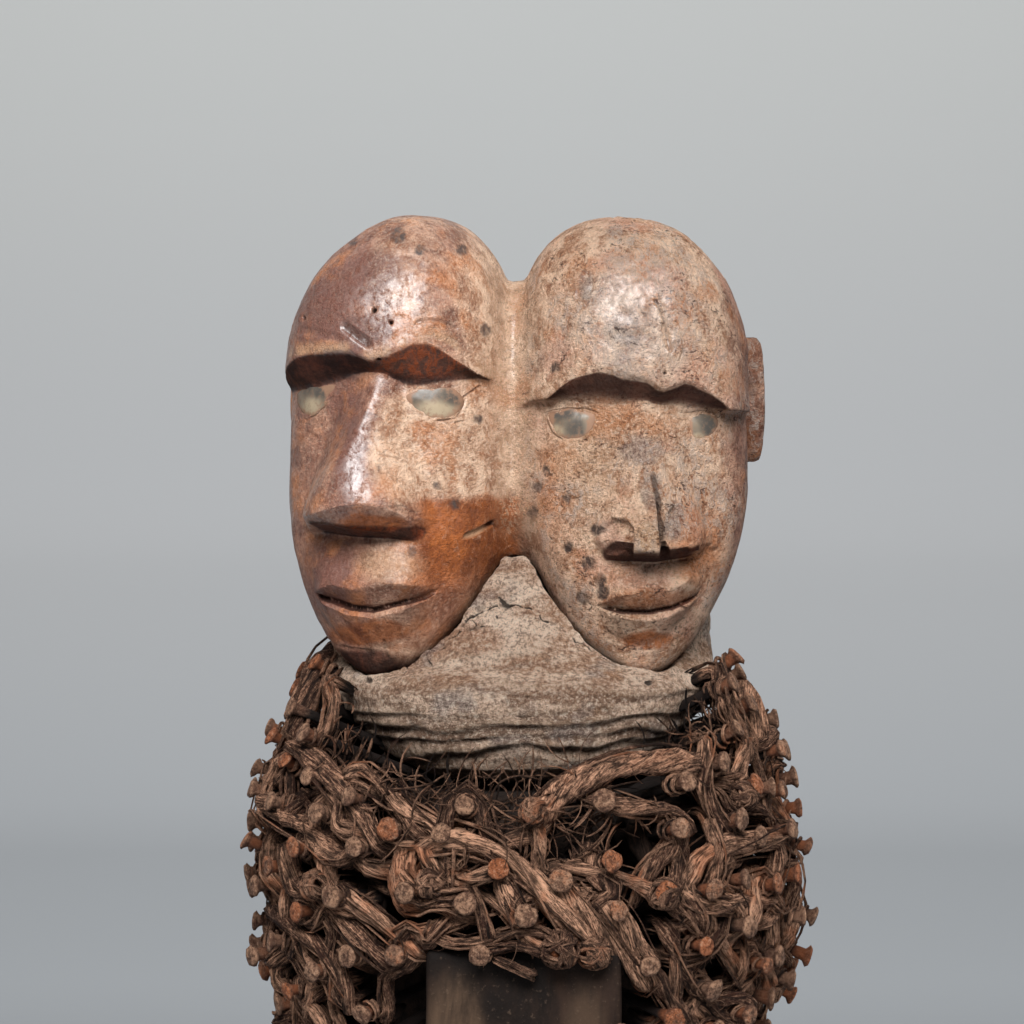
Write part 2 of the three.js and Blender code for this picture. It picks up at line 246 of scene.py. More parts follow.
def ovoid(head, u, v, z, proud=0.0):
    """A plain head, with its front and back grown outwards by proud."""
    up = z - (head.top - HEAD_TALL)
    lift = np.clip((z - (head.top - CROWN_SHARE)) / CROWN_SHARE, 0, 0.9999)
    drop = np.clip((JAW_SHARE - up) / JAW_SHARE, 0, 0.9999)
    crown = closing(lift, head.crown_power)
    half = head.half * crown * closing(drop, head.jaw_power)
    depth = through(SECTION_DEPTH, up) * closing(drop, 5) * crown
    middle = through(SECTION_MIDDLE, up) + proud / 2
    power = SECTION_POWER + CHEEK_POWER * step(up, 20, 50) * step(up, 110, 80)
    wall = oval(u - head.lean * lift**2, v, half, middle, depth + proud / 2, power)
    return np.maximum(wall, np.maximum(z - head.top, -up))


# %% [markdown]
# The lines of a face are drawn over the picture, in pixels, and laid onto the plain head from the
# camera. That puts each brow, nose and lip where the photograph shows it, and from then on they
# are heights across the face, so they hold from every side.

# %% Lines drawn on the faces


def seen_on(field, columns, rows):
    """Where the camera sees a form at places of the picture."""
    columns, rows = (np.asarray(values, dtype=float)[..., None] for values in (columns, rows))
    way = sight_line(columns, rows)
    way = way / np.linalg.norm(way, axis=-1, keepdims=True)
    reach = np.full(way.shape[:-1], 0.85 * CAMERA_DISTANCE)
    for _ in range(50):
        reach += 0.7 * field(*(CAMERA + way * reach[..., None]).T)
        reach = np.minimum(reach, 1.1 * CAMERA_DISTANCE)
    return CAMERA + way * reach[..., None]


def drawn(head, proud, *places):
    """Stations (across, height) of a line drawn from left to right over the picture of a face."""
    columns, rows = np.array(places, dtype=float).T
    points = seen_on(lambda x, y, z: ovoid(head, *head.local(x, y), z, proud), columns, rows)
    return np.stack([head.local(*points[:, :2].T)[0], points[:, 2]], axis=1)


def upright(head, proud, *places):
    """Stations (height, across) of a line drawn from the top down."""
    return drawn(head, proud, *places)[::-1, ::-1]


def along(line, u):
    """The height of a drawn line at places across the face."""
    return np.interp(u, line[:, 0], line[:, 1])


BROW_OUT = 10.0  # how far the brow stands out over the eyes
NOSE_OUT = 9.0
LIP_OUT = 3.0

LEFT.brow_edge = drawn(
    LEFT, BROW_OUT, (292, 357), (312, 354), (330, 353), (346, 353), (358, 357), (367, 361),
    (376, 359), (387, 355), (400, 349), (412, 343), (427, 338), (437, 339), (448, 344),
    (464, 356), (477, 370), (490, 378),
)
LEFT.brow_foot = drawn(
    LEFT, 2, (292, 391), (311, 387), (330, 381), (341, 378), (352, 375), (369, 375), (387, 380), (418, 384),
    (448, 380), (477, 377), (490, 381),
)
LEFT.ridge = upright(LEFT, NOSE_OUT, (373, 375), (368, 405), (362, 425), (355, 450), (350, 470), (350, 510))
LEFT.ridge_out = [(342, 19), (351, 19), (365, 15), (375, 10.5), (386, 6.5), (396, 2.5)]
LEFT.nose_left = upright(LEFT, 1, (352, 380), (336, 430), (318, 480), (308, 515), (308, 540))
LEFT.nose_right = upright(LEFT, 1, (392, 380), (404, 430), (412, 470), (424, 510), (428, 540))
LEFT.nose_facet = drawn(
    LEFT, NOSE_OUT, (308, 517), (321, 514), (353, 506), (373, 504), (392, 507), (412, 519),
)
LEFT.nose_foot = drawn(
    LEFT, NOSE_OUT, (308, 525), (313, 526), (346, 530), (379, 532), (401, 533), (422, 531),
)
LEFT.lip_top = drawn(
    LEFT, LIP_OUT, (318, 592), (335, 584), (350, 588), (358, 589), (373, 585), (396, 583),
    (434, 586),
)
LEFT.mouth = drawn(
    LEFT, LIP_OUT, (312, 592), (318, 594), (335, 601), (351, 607), (373, 610), (396, 604),
    (423, 597), (436, 590),
)
LEFT.lip_edge = drawn(
    LEFT, LIP_OUT, (314, 596), (330, 606), (350, 615), (375, 618), (400, 612), (425, 602),
    (436, 592),
)
LEFT.lip_foot = drawn(
    LEFT, LIP_OUT, (312, 602), (325, 625), (338, 640), (360, 648), (386, 648), (406, 638),
    (424, 620), (437, 597),
)

RIGHT.brow_edge = drawn(
    RIGHT, BROW_OUT, (545, 400), (553, 393), (560, 385), (571, 378), (585, 374), (598, 371),
    (610, 373), (623, 378), (636, 380), (649, 382), (658, 389), (665, 391), (675, 387),
    (686, 382), (694, 384), (702, 389), (713, 394), (722, 401), (732, 411),
)
RIGHT.brow_foot = drawn(
    RIGHT, 2, (540, 400), (549, 401), (584, 406), (623, 406), (651, 409), (675, 406), (707, 411), (738, 411)
)
RIGHT.ridge = upright(RIGHT, NOSE_OUT, (650, 408), (652, 440), (655, 470), (657, 500), (655, 535))
RIGHT.ridge_out = [(335, 15), (345, 15), (354, 12), (364, 8.5), (375, 5.5), (388, 2)]
RIGHT.nose_left = upright(RIGHT, 1, (628, 405), (618, 460), (607, 500), (601, 530), (601, 555))
RIGHT.nose_right = upright(RIGHT, 1, (672, 405), (684, 460), (694, 500), (703, 535), (703, 555))
RIGHT.nose_facet = drawn(
    RIGHT, NOSE_OUT, (602, 541), (612, 542), (633, 546), (650, 550), (663, 551), (684, 546),
    (700, 543),
)
RIGHT.nose_foot = drawn(
    RIGHT, NOSE_OUT, (602, 548), (605, 552), (631, 555), (660, 556), (690, 551), (702, 546),
)
RIGHT.lip_top = drawn(
    RIGHT, LIP_OUT, (598, 606), (614, 596), (644, 590), (668, 589), (680, 583), (689, 577),
    (700, 584),
)
RIGHT.mouth = drawn(
    RIGHT, LIP_OUT, (598, 606), (605, 607), (623, 611), (649, 612), (672, 607), (695, 597),
    (703, 589),
)
RIGHT.lip_edge = drawn(
    RIGHT, LIP_OUT, (600, 609), (612, 614), (630, 619), (649, 620), (668, 616), (688, 604),
    (703, 591),
)
RIGHT.lip_foot = drawn(
    RIGHT, LIP_OUT, (598, 614), (606, 630), (623, 640), (649, 647), (667, 638), (688, 612), (703, 596)
)
mouth_widths = [round(np.ptp(head.mouth[:, 0])) for head in (LEFT, RIGHT)]
print("the mouths are", *mouth_widths, "mm wide")

# %% [markdown]
# The face is cut back under the brow, which leaves a ledge over the eyes. The nose is a wedge that
# grows towards its foot, where two cuts end it. From the nose the skin slopes out to a sharp lip,
# back in to the mouth, out again to the lower lip, and back to the chin. The outer ear is a thick
# plank with a hollow cut in it.

# %% One carved head
UPPER_LIP, MOUTH_LINE, LOWER_LIP = 6.8, 2.2, 4.8  # how far each stands out
MOUTH_DEPTH = 1.5
NOSE_ROUNDING = 2.6  # how far the nose's ridge is rounded to each side
NOSE_REACH = (16, 43)  # the places, out of the head's axis, between which the nose's underside lies
EAR_PLACE, EAR_DEEP, EAR_TALL = -9, 8.5, 21.5  # of its middle, and its half sizes
EAR_OUT = 40.5
EAR_RIM = 3.5  # how far in from its middle the hollow's floor lies


def lip_relief(head, u, z):
    """How far the mouth's forms stand out of the face."""
    lines = (head.nose_foot, head.lip_top, head.mouth, head.lip_edge, head.lip_foot)
    levels = [along(line, u) for line in lines]
    heights = (0.0, UPPER_LIP, MOUTH_LINE, LOWER_LIP, 0.0)
    relief = np.zeros(np.broadcast(u, z).shape, dtype=np.float32)
    for high, low, start, end in zip(levels, levels[1:], heights, heights[1:]):
        share = np.clip((high - z) / np.maximum(high - low, 0.5), 0, 1)
        relief = relief + (end - start) * (share**1.4 if end == UPPER_LIP else share)
    ends = head.mouth[[0, -1], 0]
    past = np.maximum(ends[0] - u, u - ends[1])
    narrowed = 1 - step(past, -7, 1.5)
    groove = np.exp(-(((z - levels[2]) / 0.8) ** 2)) * (1 - step(past, -4, 1))
    return relief * narrowed - MOUTH_DEPTH * groove


def nose_field(head, u, v, z, face):
    """The face raised to a wedge between the nose's drawn sides, and cut off under it."""
    proud = through(head.ridge_out, z)
    ridge = np.interp(z, *head.ridge.T)
    left = np.interp(z, *head.nose_left.T)
    right = np.interp(z, *head.nose_right.T)
    width = np.where(u < ridge, ridge - left, right - ridge)
    share = np.sqrt((u - ridge) ** 2 + NOSE_ROUNDING**2) - NOSE_ROUNDING
    share = np.clip(share / width, 0, 1.3)
    facet_z, foot_z = along(head.nose_facet, u), along(head.nose_foot, u)
    fullness = 1 + 1.1 * step(z, facet_z + 22, facet_z)
    rise = proud * (1 - share**fullness) - 1.1 * np.maximum(facet_z - z, 0)
    under = foot_z - 0.25 * (NOSE_REACH[1] - v) - z
    bounds = np.maximum(NOSE_REACH[0] - v, z - along(head.brow_foot, u) - 4)
    return np.maximum(soft_max(face - rise, under, 0.8), bounds)


def ear_field(head, u, v, z):
    out = u * head.side
    lift = z - (head.eye_z + head.ear_lift)
    ring = np.sqrt(((v - EAR_PLACE) / EAR_DEEP) ** 2 + (lift / EAR_TALL) ** 2)
    plank = soft_max((ring - 1) * EAR_DEEP, np.abs(out - EAR_OUT) - head.ear_reach, 2.5)
    hollow = soft_max((ring - 0.5) * EAR_DEEP, EAR_OUT - EAR_RIM + head.ear_reach - out, 1.5)
    return soft_max(plank, -hollow, 1.5)


def head_field(head, x, y, z):
    u, v = head.local(x, y)
    relief = lip_relief(head, u, z)
    face = ovoid(head, u, v, z) - np.where(v > 5, relief, 0)
    cranium = ovoid(head, u, v, z, BROW_OUT)
    edge = along(head.brow_edge, u)
    foot = along(head.brow_foot, u)
    slant = foot + (edge - foot) * np.clip(face / (0.8 * BROW_OUT), -0.5, 1.6)
    under_brow = soft_min(face, (slant - z) * 0.6, 1.4)
    skull = soft_max(cranium, under_brow, 0.7)
    nosed = soft_min(skull, nose_field(head, u, v, z, face), 1.4)
    return soft_min(nosed, ear_field(head, u, v, z), 2.0)


LEFT.ear_lift, LEFT.ear_reach = 1.0, 3.6
RIGHT.ear_lift, RIGHT.ear_reach = 9.8, 7.0

# %% [markdown]
# The wood between the heads was left when they were carved apart, so a shallow crease joins them.
# Neck, torso, legs, feet and base come from the same block. They are ovals stacked by height, as
# in the solids, and are plainer, because the nails and the pack hide most of them.

# %% The whole block of wood
BASE_HALF = 62.0
BASE_DEEP = 58.0
BASE_TALL = 28.0
LEG_OUT = 27.0
# Height, half width, front and back, as in the solids.
NECK = [(245, 34, 28, 30), (270, 34, 27, 30), (300, 36, 22, 32), (317, 30, 10, 31), (346, 15, 1, 28)]
TORSO = [
    (112, 28, 20, 25),
    (122, 48, 38, 43),
    (138, 54, 46.5, 50),
    (200, 57, 50, 50),
    (236, 57, 48.5, 48.5),
    (250, 53, 45, 45),
    (257, 44.5, 38, 38),
]
LEG = [
    (32, 15, 14, 22), (46, 16, 14, 21), (66, 21, 20, 22), (84, 20, 28, 15), (102, 23, 27, 24),
    (128, 25, 26, 33),
]
FOOT = [(24, 17, 44, 24), (37, 17, 43, 23), (43, 12, 26, 20)]
CREASE = [
    (334, 3, 4, 14), (348, 8, 13, 30), (394, 10, 14, 34), (416, 10, 9, 30), (424, 6, 4, 24),
    (428, 3, 1, 16),
]
CREASE_EASE = [(400, 7.0), (425, 2.0)]  # how softly it meets the heads, by height


def stack_field(stations, x, y, z, power=2.3):
    """The field of ovals stacked by height."""
    heights, halves, fronts, backs = np.array(stations, dtype=np.float32).T
    half = np.interp(z, heights, halves)
    front = np.interp(z, heights, fronts)
    back = np.interp(z, heights, backs)
    depth = (front + back) / 2
    spread = np.abs(x / half) ** power + np.abs((y - (back - front) / 2) / depth) ** power
    wall = (spread ** (1 / power) - 1) * np.minimum(half, depth)
    ends = np.maximum(heights[0] - z, z - heights[-1])
    return soft_max(wall, ends, 2.0)


def base_field(x, y, z):
    inset = 5 * np.clip((z - BASE_TALL + 4) / 4, 0, 1)
    half, deep = BASE_HALF - inset, BASE_DEEP - inset
    wall = ((np.abs(x / half) ** 4 + np.abs(y / deep) ** 4) ** 0.25 - 1) * deep
    return soft_max(wall, np.maximum(-z, z - BASE_TALL), 0.5)


def figure_field(x, y, z):
    heads = soft_min(head_field(LEFT, x, y, z), head_field(RIGHT, x, y, z), 3.0)
    ease = np.interp(z, *np.array(CREASE_EASE).T)
    heads = soft_min(heads, stack_field(CREASE, x + 2, y, z, 2.0), ease)
    body = np.minimum(stack_field(NECK, x, y, z), stack_field(TORSO, x, y, z))
    for side in (-1, 1):
        leg = stack_field(LEG, x - side * LEG_OUT, y, z)
        foot = stack_field(FOOT, x - side * LEG_OUT, y, z, 3.0)
        body = soft_min(body, soft_min(leg, foot, 3.0), 3.0)
    body = soft_min(body, base_field(x, y, z), 2.0)
    return np.minimum(heads, body)


# %% [markdown]
# A field becomes a mesh by surface nets. Space is divided into small cells, each cell that the
# surface crosses gets one vertex at the middle of its crossings, and vertices of cells round a
# crossed edge make a face. The vertices are then pulled onto the surface itself, which keeps the
# mesh smooth and lets fine noise shape it.

# %% From a field to a mesh


def ordered_faces(crossing, inward, cells, axis):
    """Four-cornered faces round each crossed edge along an axis, turned to face out."""
    first, second = [a for a in range(3) if a != axis]
    if axis == 1:
        first, second = second, first
    inner = [slice(None)] * 3
    inner[first] = slice(1, -1)
    inner[second] = slice(1, -1)
    at = np.argwhere(crossing[tuple(inner)])
    offset = np.zeros(3, dtype=int)
    offset[[first, second]] = 1
    at = at + offset
    faces = []
    for back_first, back_second in ((1, 1), (0, 1), (0, 0), (1, 0)):
        cell = at.copy()
        cell[:, first] -= back_first
        cell[:, second] -= back_second
        faces.append(cells[tuple(cell.T)])
    faces = np.stack(faces, axis=1)
    flipped = ~inward[tuple(at.T)]
    faces[flipped] = faces[flipped][:, ::-1]
    return faces


def surface_net(field, axes, pulls=2):
    """Vertices and faces of the surface where a field is zero, over cells between axis values."""
    grid = np.meshgrid(*axes, indexing="ij", sparse=True)
    values = field(*grid).astype(np.float32)
    inside = values < 0
    shape = tuple(n - 1 for n in values.shape)
    count = np.zeros(shape, dtype=np.float32)
    place = np.zeros(shape + (3,), dtype=np.float32)
    crossings = []
    for axis in range(3):
        near = [slice(None)] * 3
        far = [slice(None)] * 3
        near[axis] = slice(None, -1)
        far[axis] = slice(1, None)
        near, far = tuple(near), tuple(far)
        crossing = inside[near] != inside[far]
        crossings.append((crossing, inside[near]))
        share = values[near] / (values[near] - values[far] + 1e-12)
        steps = np.diff(axes[axis]).reshape([-1 if a == axis else 1 for a in range(3)])
        across = [a for a in range(3) if a != axis]
        for lift in np.ndindex(2, 2):
            window = [slice(None)] * 3
            for a, high in zip(across, lift):
                window[a] = slice(high, high + shape[a])
            window = tuple(window)
            hit = crossing[window]
            count += hit
            for a in range(3):
                start = grid[a][tuple(w if a == k else slice(None) for k, w in enumerate(window))]
                if a == axis:
                    start = grid[a][near] + share[window] * steps
                place[..., a] += np.where(hit, start, 0)
    active = count > 0
    cells = np.full(shape, -1, dtype=np.int64)
    cells[active] = np.arange(active.sum())
    vertices = place[active] / count[active][:, None]
    quads = np.concatenate([ordered_faces(*crossings[axis], cells, axis) for axis in range(3)])
    triangles = np.concatenate([quads[:, [0, 1, 2]], quads[:, [0, 2, 3]]])
    for _ in range(pulls):
        vertices = pull_onto(field, vertices, 1.0)
    return vertices, triangles


def slope_of(field, points, reach=0.35):
    """The direction in which a field grows fastest, and how fast."""
    grown = [
        field(*(points + reach * step_to).T) - field(*(points - reach * step_to).T)
        for step_to in np.eye(3, dtype=np.float32)
    ]
    gradient = np.stack(grown, axis=-1) / (2 * reach)
    length = np.linalg.norm(gradient, axis=-1, keepdims=True) + 1e-9
    return gradient / length, length[..., 0]


def pull_onto(field, points, limit):
    away, growth = slope_of(field, points)
    move = np.clip(field(*points.T) / growth, -limit, limit)
    return points - away * move[:, None]


def split_edges(vertices, triangles, chosen):
    """Halves the edges that chosen picks by their two ends, and splits the triangles on them."""
    ends = np.stack([triangles, np.roll(triangles, -1, axis=1)], axis=2)
    ends.sort(axis=2)
    keys, ids = np.unique(ends[..., 0] * len(vertices) + ends[..., 1], return_inverse=True)
    first, second = keys // len(vertices), keys % len(vertices)
    split = chosen(first, second)
    middle = np.full(len(keys), -1)
    middle[split] = len(vertices) + np.arange(split.sum())
    added = (vertices[first[split]] + vertices[second[split]]) / 2
    middle = middle[ids.reshape(-1, 3)]
    number = (middle >= 0).sum(axis=1)
    parts = [triangles[number == 0]]
    patterns = {
        1: [(0, 3, 2), (3, 1, 2)],
        2: [(3, 1, 4), (0, 3, 4), (0, 4, 2)],
        3: [(0, 3, 5), (3, 1, 4), (5, 4, 2), (3, 4, 5)],
    }
    for splits, pattern in patterns.items():
        some = number == splits
        turn = np.argmax(middle[some] >= 0, axis=1)
        if splits == 2:
            turn = np.argmax(middle[some] < 0, axis=1) + 1
        order = (np.arange(3) + turn[:, None]) % 3
        corners = np.take_along_axis(triangles[some], order, axis=1)
        halves = np.take_along_axis(middle[some], order, axis=1)
        both = np.concatenate([corners, halves], axis=1)
        parts += [both[:, corner] for corner in pattern]
    return np.concatenate([vertices, added]), np.concatenate(parts)


def refine(field, vertices, triangles, wanted, rounds):
    """Splits edges longer than wanted(place, bend) allows, and puts new vertices on the field."""
    for _ in range(rounds):
        normals = slope_of(field, vertices)[0]

        def chosen(first, second):
            length = np.linalg.norm(vertices[first] - vertices[second], axis=1)
            bend = 1 - np.sum(normals[first] * normals[second], axis=1)
            return length > wanted((vertices[first] + vertices[second]) / 2, bend)

        known = len(vertices)
        vertices, triangles = split_edges(vertices, triangles, chosen)
        vertices[known:] = pull_onto(field, vertices[known:], 0.6)
    return vertices, triangles


def make_piece(name, vertices, faces, marks=None):
    """A smooth mesh object, from vertices in millimetres and arrays of faces, with their marks."""
    corners = np.concatenate([group.ravel() for group in faces])
    counts = np.concatenate([np.full(len(group), group.shape[1]) for group in faces])
    starts = np.cumsum(counts) - counts
    mesh = bpy.data.meshes.new(name)
    mesh.vertices.add(len(vertices))
    mesh.vertices.foreach_set("co", (vertices / MM).astype(np.float32).ravel())
    mesh.loops.add(len(corners))
    mesh.loops.foreach_set("vertex_index", corners.astype(np.int32))
    mesh.polygons.add(len(counts))
    mesh.polygons.foreach_set("loop_start", starts.astype(np.int32))
    mesh.polygons.foreach_set("use_smooth", np.ones(len(counts), dtype=bool))
    mesh.update(calc_edges=True)
    for mark, values in (marks or {}).items():
        layer = mesh.attributes.new(mark, "FLOAT", "POINT")
        layer.data.foreach_set("value", np.asarray(values, dtype=np.float32))
    piece = bpy.data.objects.new(name, mesh)
    bpy.context.collection.objects.link(piece)
    print(name, "has", len(vertices), "vertices and", (counts - 2).sum(), "triangles")
    return piece


# %% [markdown]
# Age shows as small things: worm holes, a gash in a cheek, nicks, the cracks round the eyes and the
# edges of flakes on a forehead. Each is a line or a point drawn over the picture, with a width and
# a depth. The net is split finely along them, and then its points are pushed in.

# %% Cuts, cracks and holes
# Width and depth in millimetres, and the pixels that the mark runs through.
CUTS = [
    (1.1, 3.0, [(374, 310)]),
    (0.85, 2.5, [(391, 322)]),
    (0.8, 2.0, [(303, 317), (304, 319)]),
    (0.9, 2.0, [(379, 360)]),
    (0.7, 1.5, [(292, 326)]),
    (0.6, 1.2, [(490, 314)]),
    (0.8, 1.2, [(665, 373)]),
    (2.2, 0.9, [(345, 326), (356, 335), (367, 343)]),
    (0.9, 0.7, [(418, 322), (430, 320), (444, 322), (456, 328)]),
    (1.9, 0.35, [(300, 330), (322, 334), (338, 338)]),
    (1.3, 1.1, [(466, 536), (476, 532), (486, 527), (494, 523)]),
    (1.2, 2.2, [(489, 525), (494, 523)]),
    (0.7, 0.9, [(495, 525), (496, 530)]),
    (0.8, 0.5, [(384, 640), (385, 650), (388, 658)]),
    (0.6, 0.5, [(466, 399), (462, 411), (456, 419), (438, 421)]),
    (0.6, 0.7, [(464, 397), (474, 390), (480, 386)]),
    (0.5, 0.5, [(455, 423), (464, 421)]),
    (0.6, 0.35, [(306, 420), (318, 414), (331, 398)]),
    (0.5, 0.5, [(380, 455), (400, 459)]),
    (1.0, 0.4, [(330, 641), (345, 647), (370, 651)]),
    (0.6, 0.5, [(545, 413), (552, 411), (566, 409), (586, 409), (597, 413)]),
    (0.6, 0.35, [(547, 420), (552, 432), (562, 440)]),
    (0.6, 0.4, [(685, 414), (700, 411), (716, 413), (720, 424)]),
    (0.8, 0.8, [(655, 300), (662, 312), (666, 326), (669, 340), (671, 350)]),
    (0.7, 0.6, [(676, 322), (682, 334), (684, 348), (680, 360)]),
    (0.6, 0.6, [(628, 420), (640, 412), (655, 408)]),
    (2.0, 1.0, [(653, 476), (656, 490), (660, 504)]),
]


class Cut:
    """A line on the wood, from a drawn one."""

    def __init__(self, width, depth, places, field=None):
        columns, rows = np.array(places, dtype=float).T
        self.path = seen_on(field or figure_field, columns, rows)
        self.width = width
        self.depth = depth

    def distance(self, points):
        if len(self.path) == 1:
            return np.linalg.norm(points - self.path[0], axis=1)
        nearest = np.full(len(points), np.inf)
        for start, end in zip(self.path, self.path[1:]):
            run = end - start
            share = np.clip((points - start) @ run / (run @ run), 0, 1)
            away = np.linalg.norm(points - start - share[:, None] * run, axis=1)
            nearest = np.minimum(nearest, away)
        return nearest


# How far a chipped patch stands out, in millimetres, and the pixels of its corners.
CHIPS = [
    (-2.2, [(602, 527), (611, 518), (626, 520), (634, 529), (633, 541), (604, 543)]),
    (-1.6, [(604, 543), (633, 541), (633, 556), (606, 553)]),
    (1.4, [(634, 555), (635, 527), (648, 520), (659, 531), (660, 555)]),
    (-3.0, [(657, 500), (663, 506), (669, 530), (669, 557), (661, 557)]),
    (-1.6, [(669, 512), (676, 503), (687, 526), (688, 545), (670, 549)]),
    (0.9, [(687, 526), (695, 521), (700, 532), (698, 549), (688, 550)]),
    (0.7, [(706, 520), (714, 518), (719, 530), (716, 547), (708, 549)]),
    (-0.7, [(662, 322), (668, 330), (674, 348), (670, 354), (664, 340)]),
    (-0.6, [(575, 284), (588, 272), (594, 284), (586, 300), (576, 298)]),
    (-0.7, [(386, 507), (404, 505), (418, 514), (424, 530), (420, 541), (414, 524), (402, 514)]),
]


class Chip:
    """A patch with sharp edges that stands out of the wood or lies sunk in it."""

    def __init__(self, rise, places):
        self.rise = rise
        self.places = np.array(places, dtype=float)

    def outside(self, column, row):
        """Pixels from the patch's edge, below zero within it."""
        nearest = np.full(len(column), np.inf)
        within = np.zeros(len(column), dtype=bool)
        for (x0, y0), (x1, y1) in zip(self.places, np.roll(self.places, -1, axis=0)):
            run_x, run_y = x1 - x0, y1 - y0
            share = ((column - x0) * run_x + (row - y0) * run_y) / (run_x**2 + run_y**2)
            share = np.clip(share, 0, 1)
            away = np.hypot(column - x0 - share * run_x, row - y0 - share * run_y)
            nearest = np.minimum(nearest, away)
            beside = column < x0 + (row - y0) * run_x / (run_y or 1.0)
            within ^= ((y0 > row) != (y1 > row)) & beside
        return np.where(within, -nearest, nearest)


cuts = [Cut(*cut) for cut in CUTS]
chips = [Chip(*chip) for chip in CHIPS]
print(len(cuts), "cuts and", len(chips), "chips on the wood")

# %% [markdown]
# The wood is one piece from crown to base. The net over it is coarse where the wood is round and
# plain, and every edge over which the surface turns is halved until brows, lips, noses and ears
# are crisp.

# %% The net over the wood
FACE_FRONT = -4.0  # places further forward than this are on the faces
FACE_FOOT = 290  # and higher than this
THICKET = (120, 288)  # the heights between which nails and fibre hide the wood
# The longest edges allowed on a face and off it: where the surface is plain, and where it bends.
PLAIN_EDGES, BENT_EDGES = (1.8, 3.6), (1.2, 3.5)
BENT, SHARP = 0.012, 0.05  # how much the surface turns along such an edge
SHARP_EDGE, MARK_EDGE, FINE_MARK_EDGE, HIDDEN_EDGE = 0.7, 0.6, 0.3, 7.0


def spread(*runs):
    """Grid values from (start, end, spacing) runs that follow each other."""
    return np.concatenate([np.arange(start, end, gap) for start, end, gap in runs]).astype(np.float32)


# Middle and half sizes in pixels of the places that hands have polished.
POLISHED = [
    ((408, 302), (78, 50)), ((350, 450), (20, 75)), ((640, 322), (66, 56)), ((380, 566), (40, 18)),
]


def patch(column, row, middle, half, softness=0.25):
    """1 inside an oval of the picture, and 0 outside."""
    away = np.hypot((column - middle[0]) / half[0], (row - middle[1]) / half[1])
    return 1 - step(away, 1 - softness, 1 + softness)


def patches(column, row, places, softness=0.25):
    """Ovals of the picture, each a column, a row, and half its width and height, added up."""
    return sum(patch(column, row, (x, y), (wide, tall), softness) for x, y, wide, tall in places)


def wanted_length(place, bend):
    """The longest edge allowed at a place where the surface turns by bend along it."""
    on_face = (place[:, 1] < FACE_FRONT) & (place[:, 2] > FACE_FOOT)
    plain = np.where(on_face & (place[:, 1] < FACE_FRONT - 8), *PLAIN_EDGES)
    length = np.where(bend > BENT, np.where(on_face, *BENT_EDGES), plain)
    length[on_face & (bend > SHARP)] = SHARP_EDGE
    length[(place[:, 2] > THICKET[0]) & (place[:, 2] < THICKET[1])] = HIDDEN_EDGE
    faces = np.flatnonzero(on_face)
    column, row = to_picture(place[faces])
    for chip in chips:
        length[faces[np.abs(chip.outside(column, row)) < 2.2]] = MARK_EDGE
    for cut in cuts:
        near = cut.distance(place[faces]) < cut.width + 0.5
        length[faces[near]] = MARK_EDGE if cut.width > 0.7 else FINE_MARK_EDGE
    return length


wood_axes = [
    spread((-96, 97, 2.4)),
    spread((-66, 66, 2.2)),
    spread((-3, 130, 3.4), (130, 258, 6.0), (258, 290, 3.5), (290, 455, 2.2)),
]
wood_points, wood_faces = surface_net(figure_field, wood_axes)
wood_points, wood_faces = refine(figure_field, wood_points, wood_faces, wanted_length, 4)
wood_normals = slope_of(figure_field, wood_points)[0]

# %% [markdown]
# The carved surface is then worn: broad shallow facets from the knife, finer lumps on top, flakes
# that have lifted off the right forehead, and the cuts.

# %% Wear
# Size and height of the relief in millimetres, and of the finer one where the wood gleams.
FACET, LUMP, GRAIN = (11.0, 0.3), (4.5, 0.15), (2.2, 0.1)
GLEAM = (2.0, 0.09)
FLAKE_HEIGHT = 0.35


def flakes(points):
    """Level patches with sharp edges, as where a crust has broken away."""
    height = rough_noise(points, 13.0, 31) * 1.6
    return np.floor(height) + step(height - np.floor(height), 0.82, 1.0)


def hollow_of(points, normals, reach=4.0):
    """0 in the open, rising to 1 in a corner."""
    room = figure_field(*(points + reach * normals).T) / reach
    return np.clip(1 - room, 0, 1)


wood_hollow = hollow_of(wood_points, wood_normals)
right_head = step(wood_points[:, 0], -4, 4)
forehead = step(wood_points[:, 2], 396, 404)
wear = sum(
    height * noise(wood_points, size, seed) for seed, (size, height) in enumerate((FACET, LUMP, GRAIN))
)
wear = wear * step(wood_points[:, 2], FACE_FOOT, FACE_FOOT + 10)
wear += FLAKE_HEIGHT * flakes(wood_points) * right_head * forehead * step(-wood_points[:, 1], 0, 12)
cut_depth = np.zeros(len(wood_points))
for cut in cuts:
    near = 1 - step(cut.distance(wood_points), cut.width * 0.35, cut.width)
    cut_depth = np.maximum(cut_depth, cut.depth * near)
cut_depth *= step(-wood_points[:, 1], FACE_FRONT, 8)
column, row = to_picture(wood_points)
for middle, half in POLISHED:
    ripple = GLEAM[1] * noise(wood_points, GLEAM[0], 9)
    wear += ripple * patch(column, row, middle, half) * (wood_normals[:, 1] < 0)
chipped = sum(chip.rise * (1 - step(chip.outside(column, row), -1.2, 1.2)) for chip in chips)
chipped = chipped * step(-wood_points[:, 1], 14, 18)
worn_points = wood_points + wood_normals * (wear + chipped - cut_depth)[:, None]
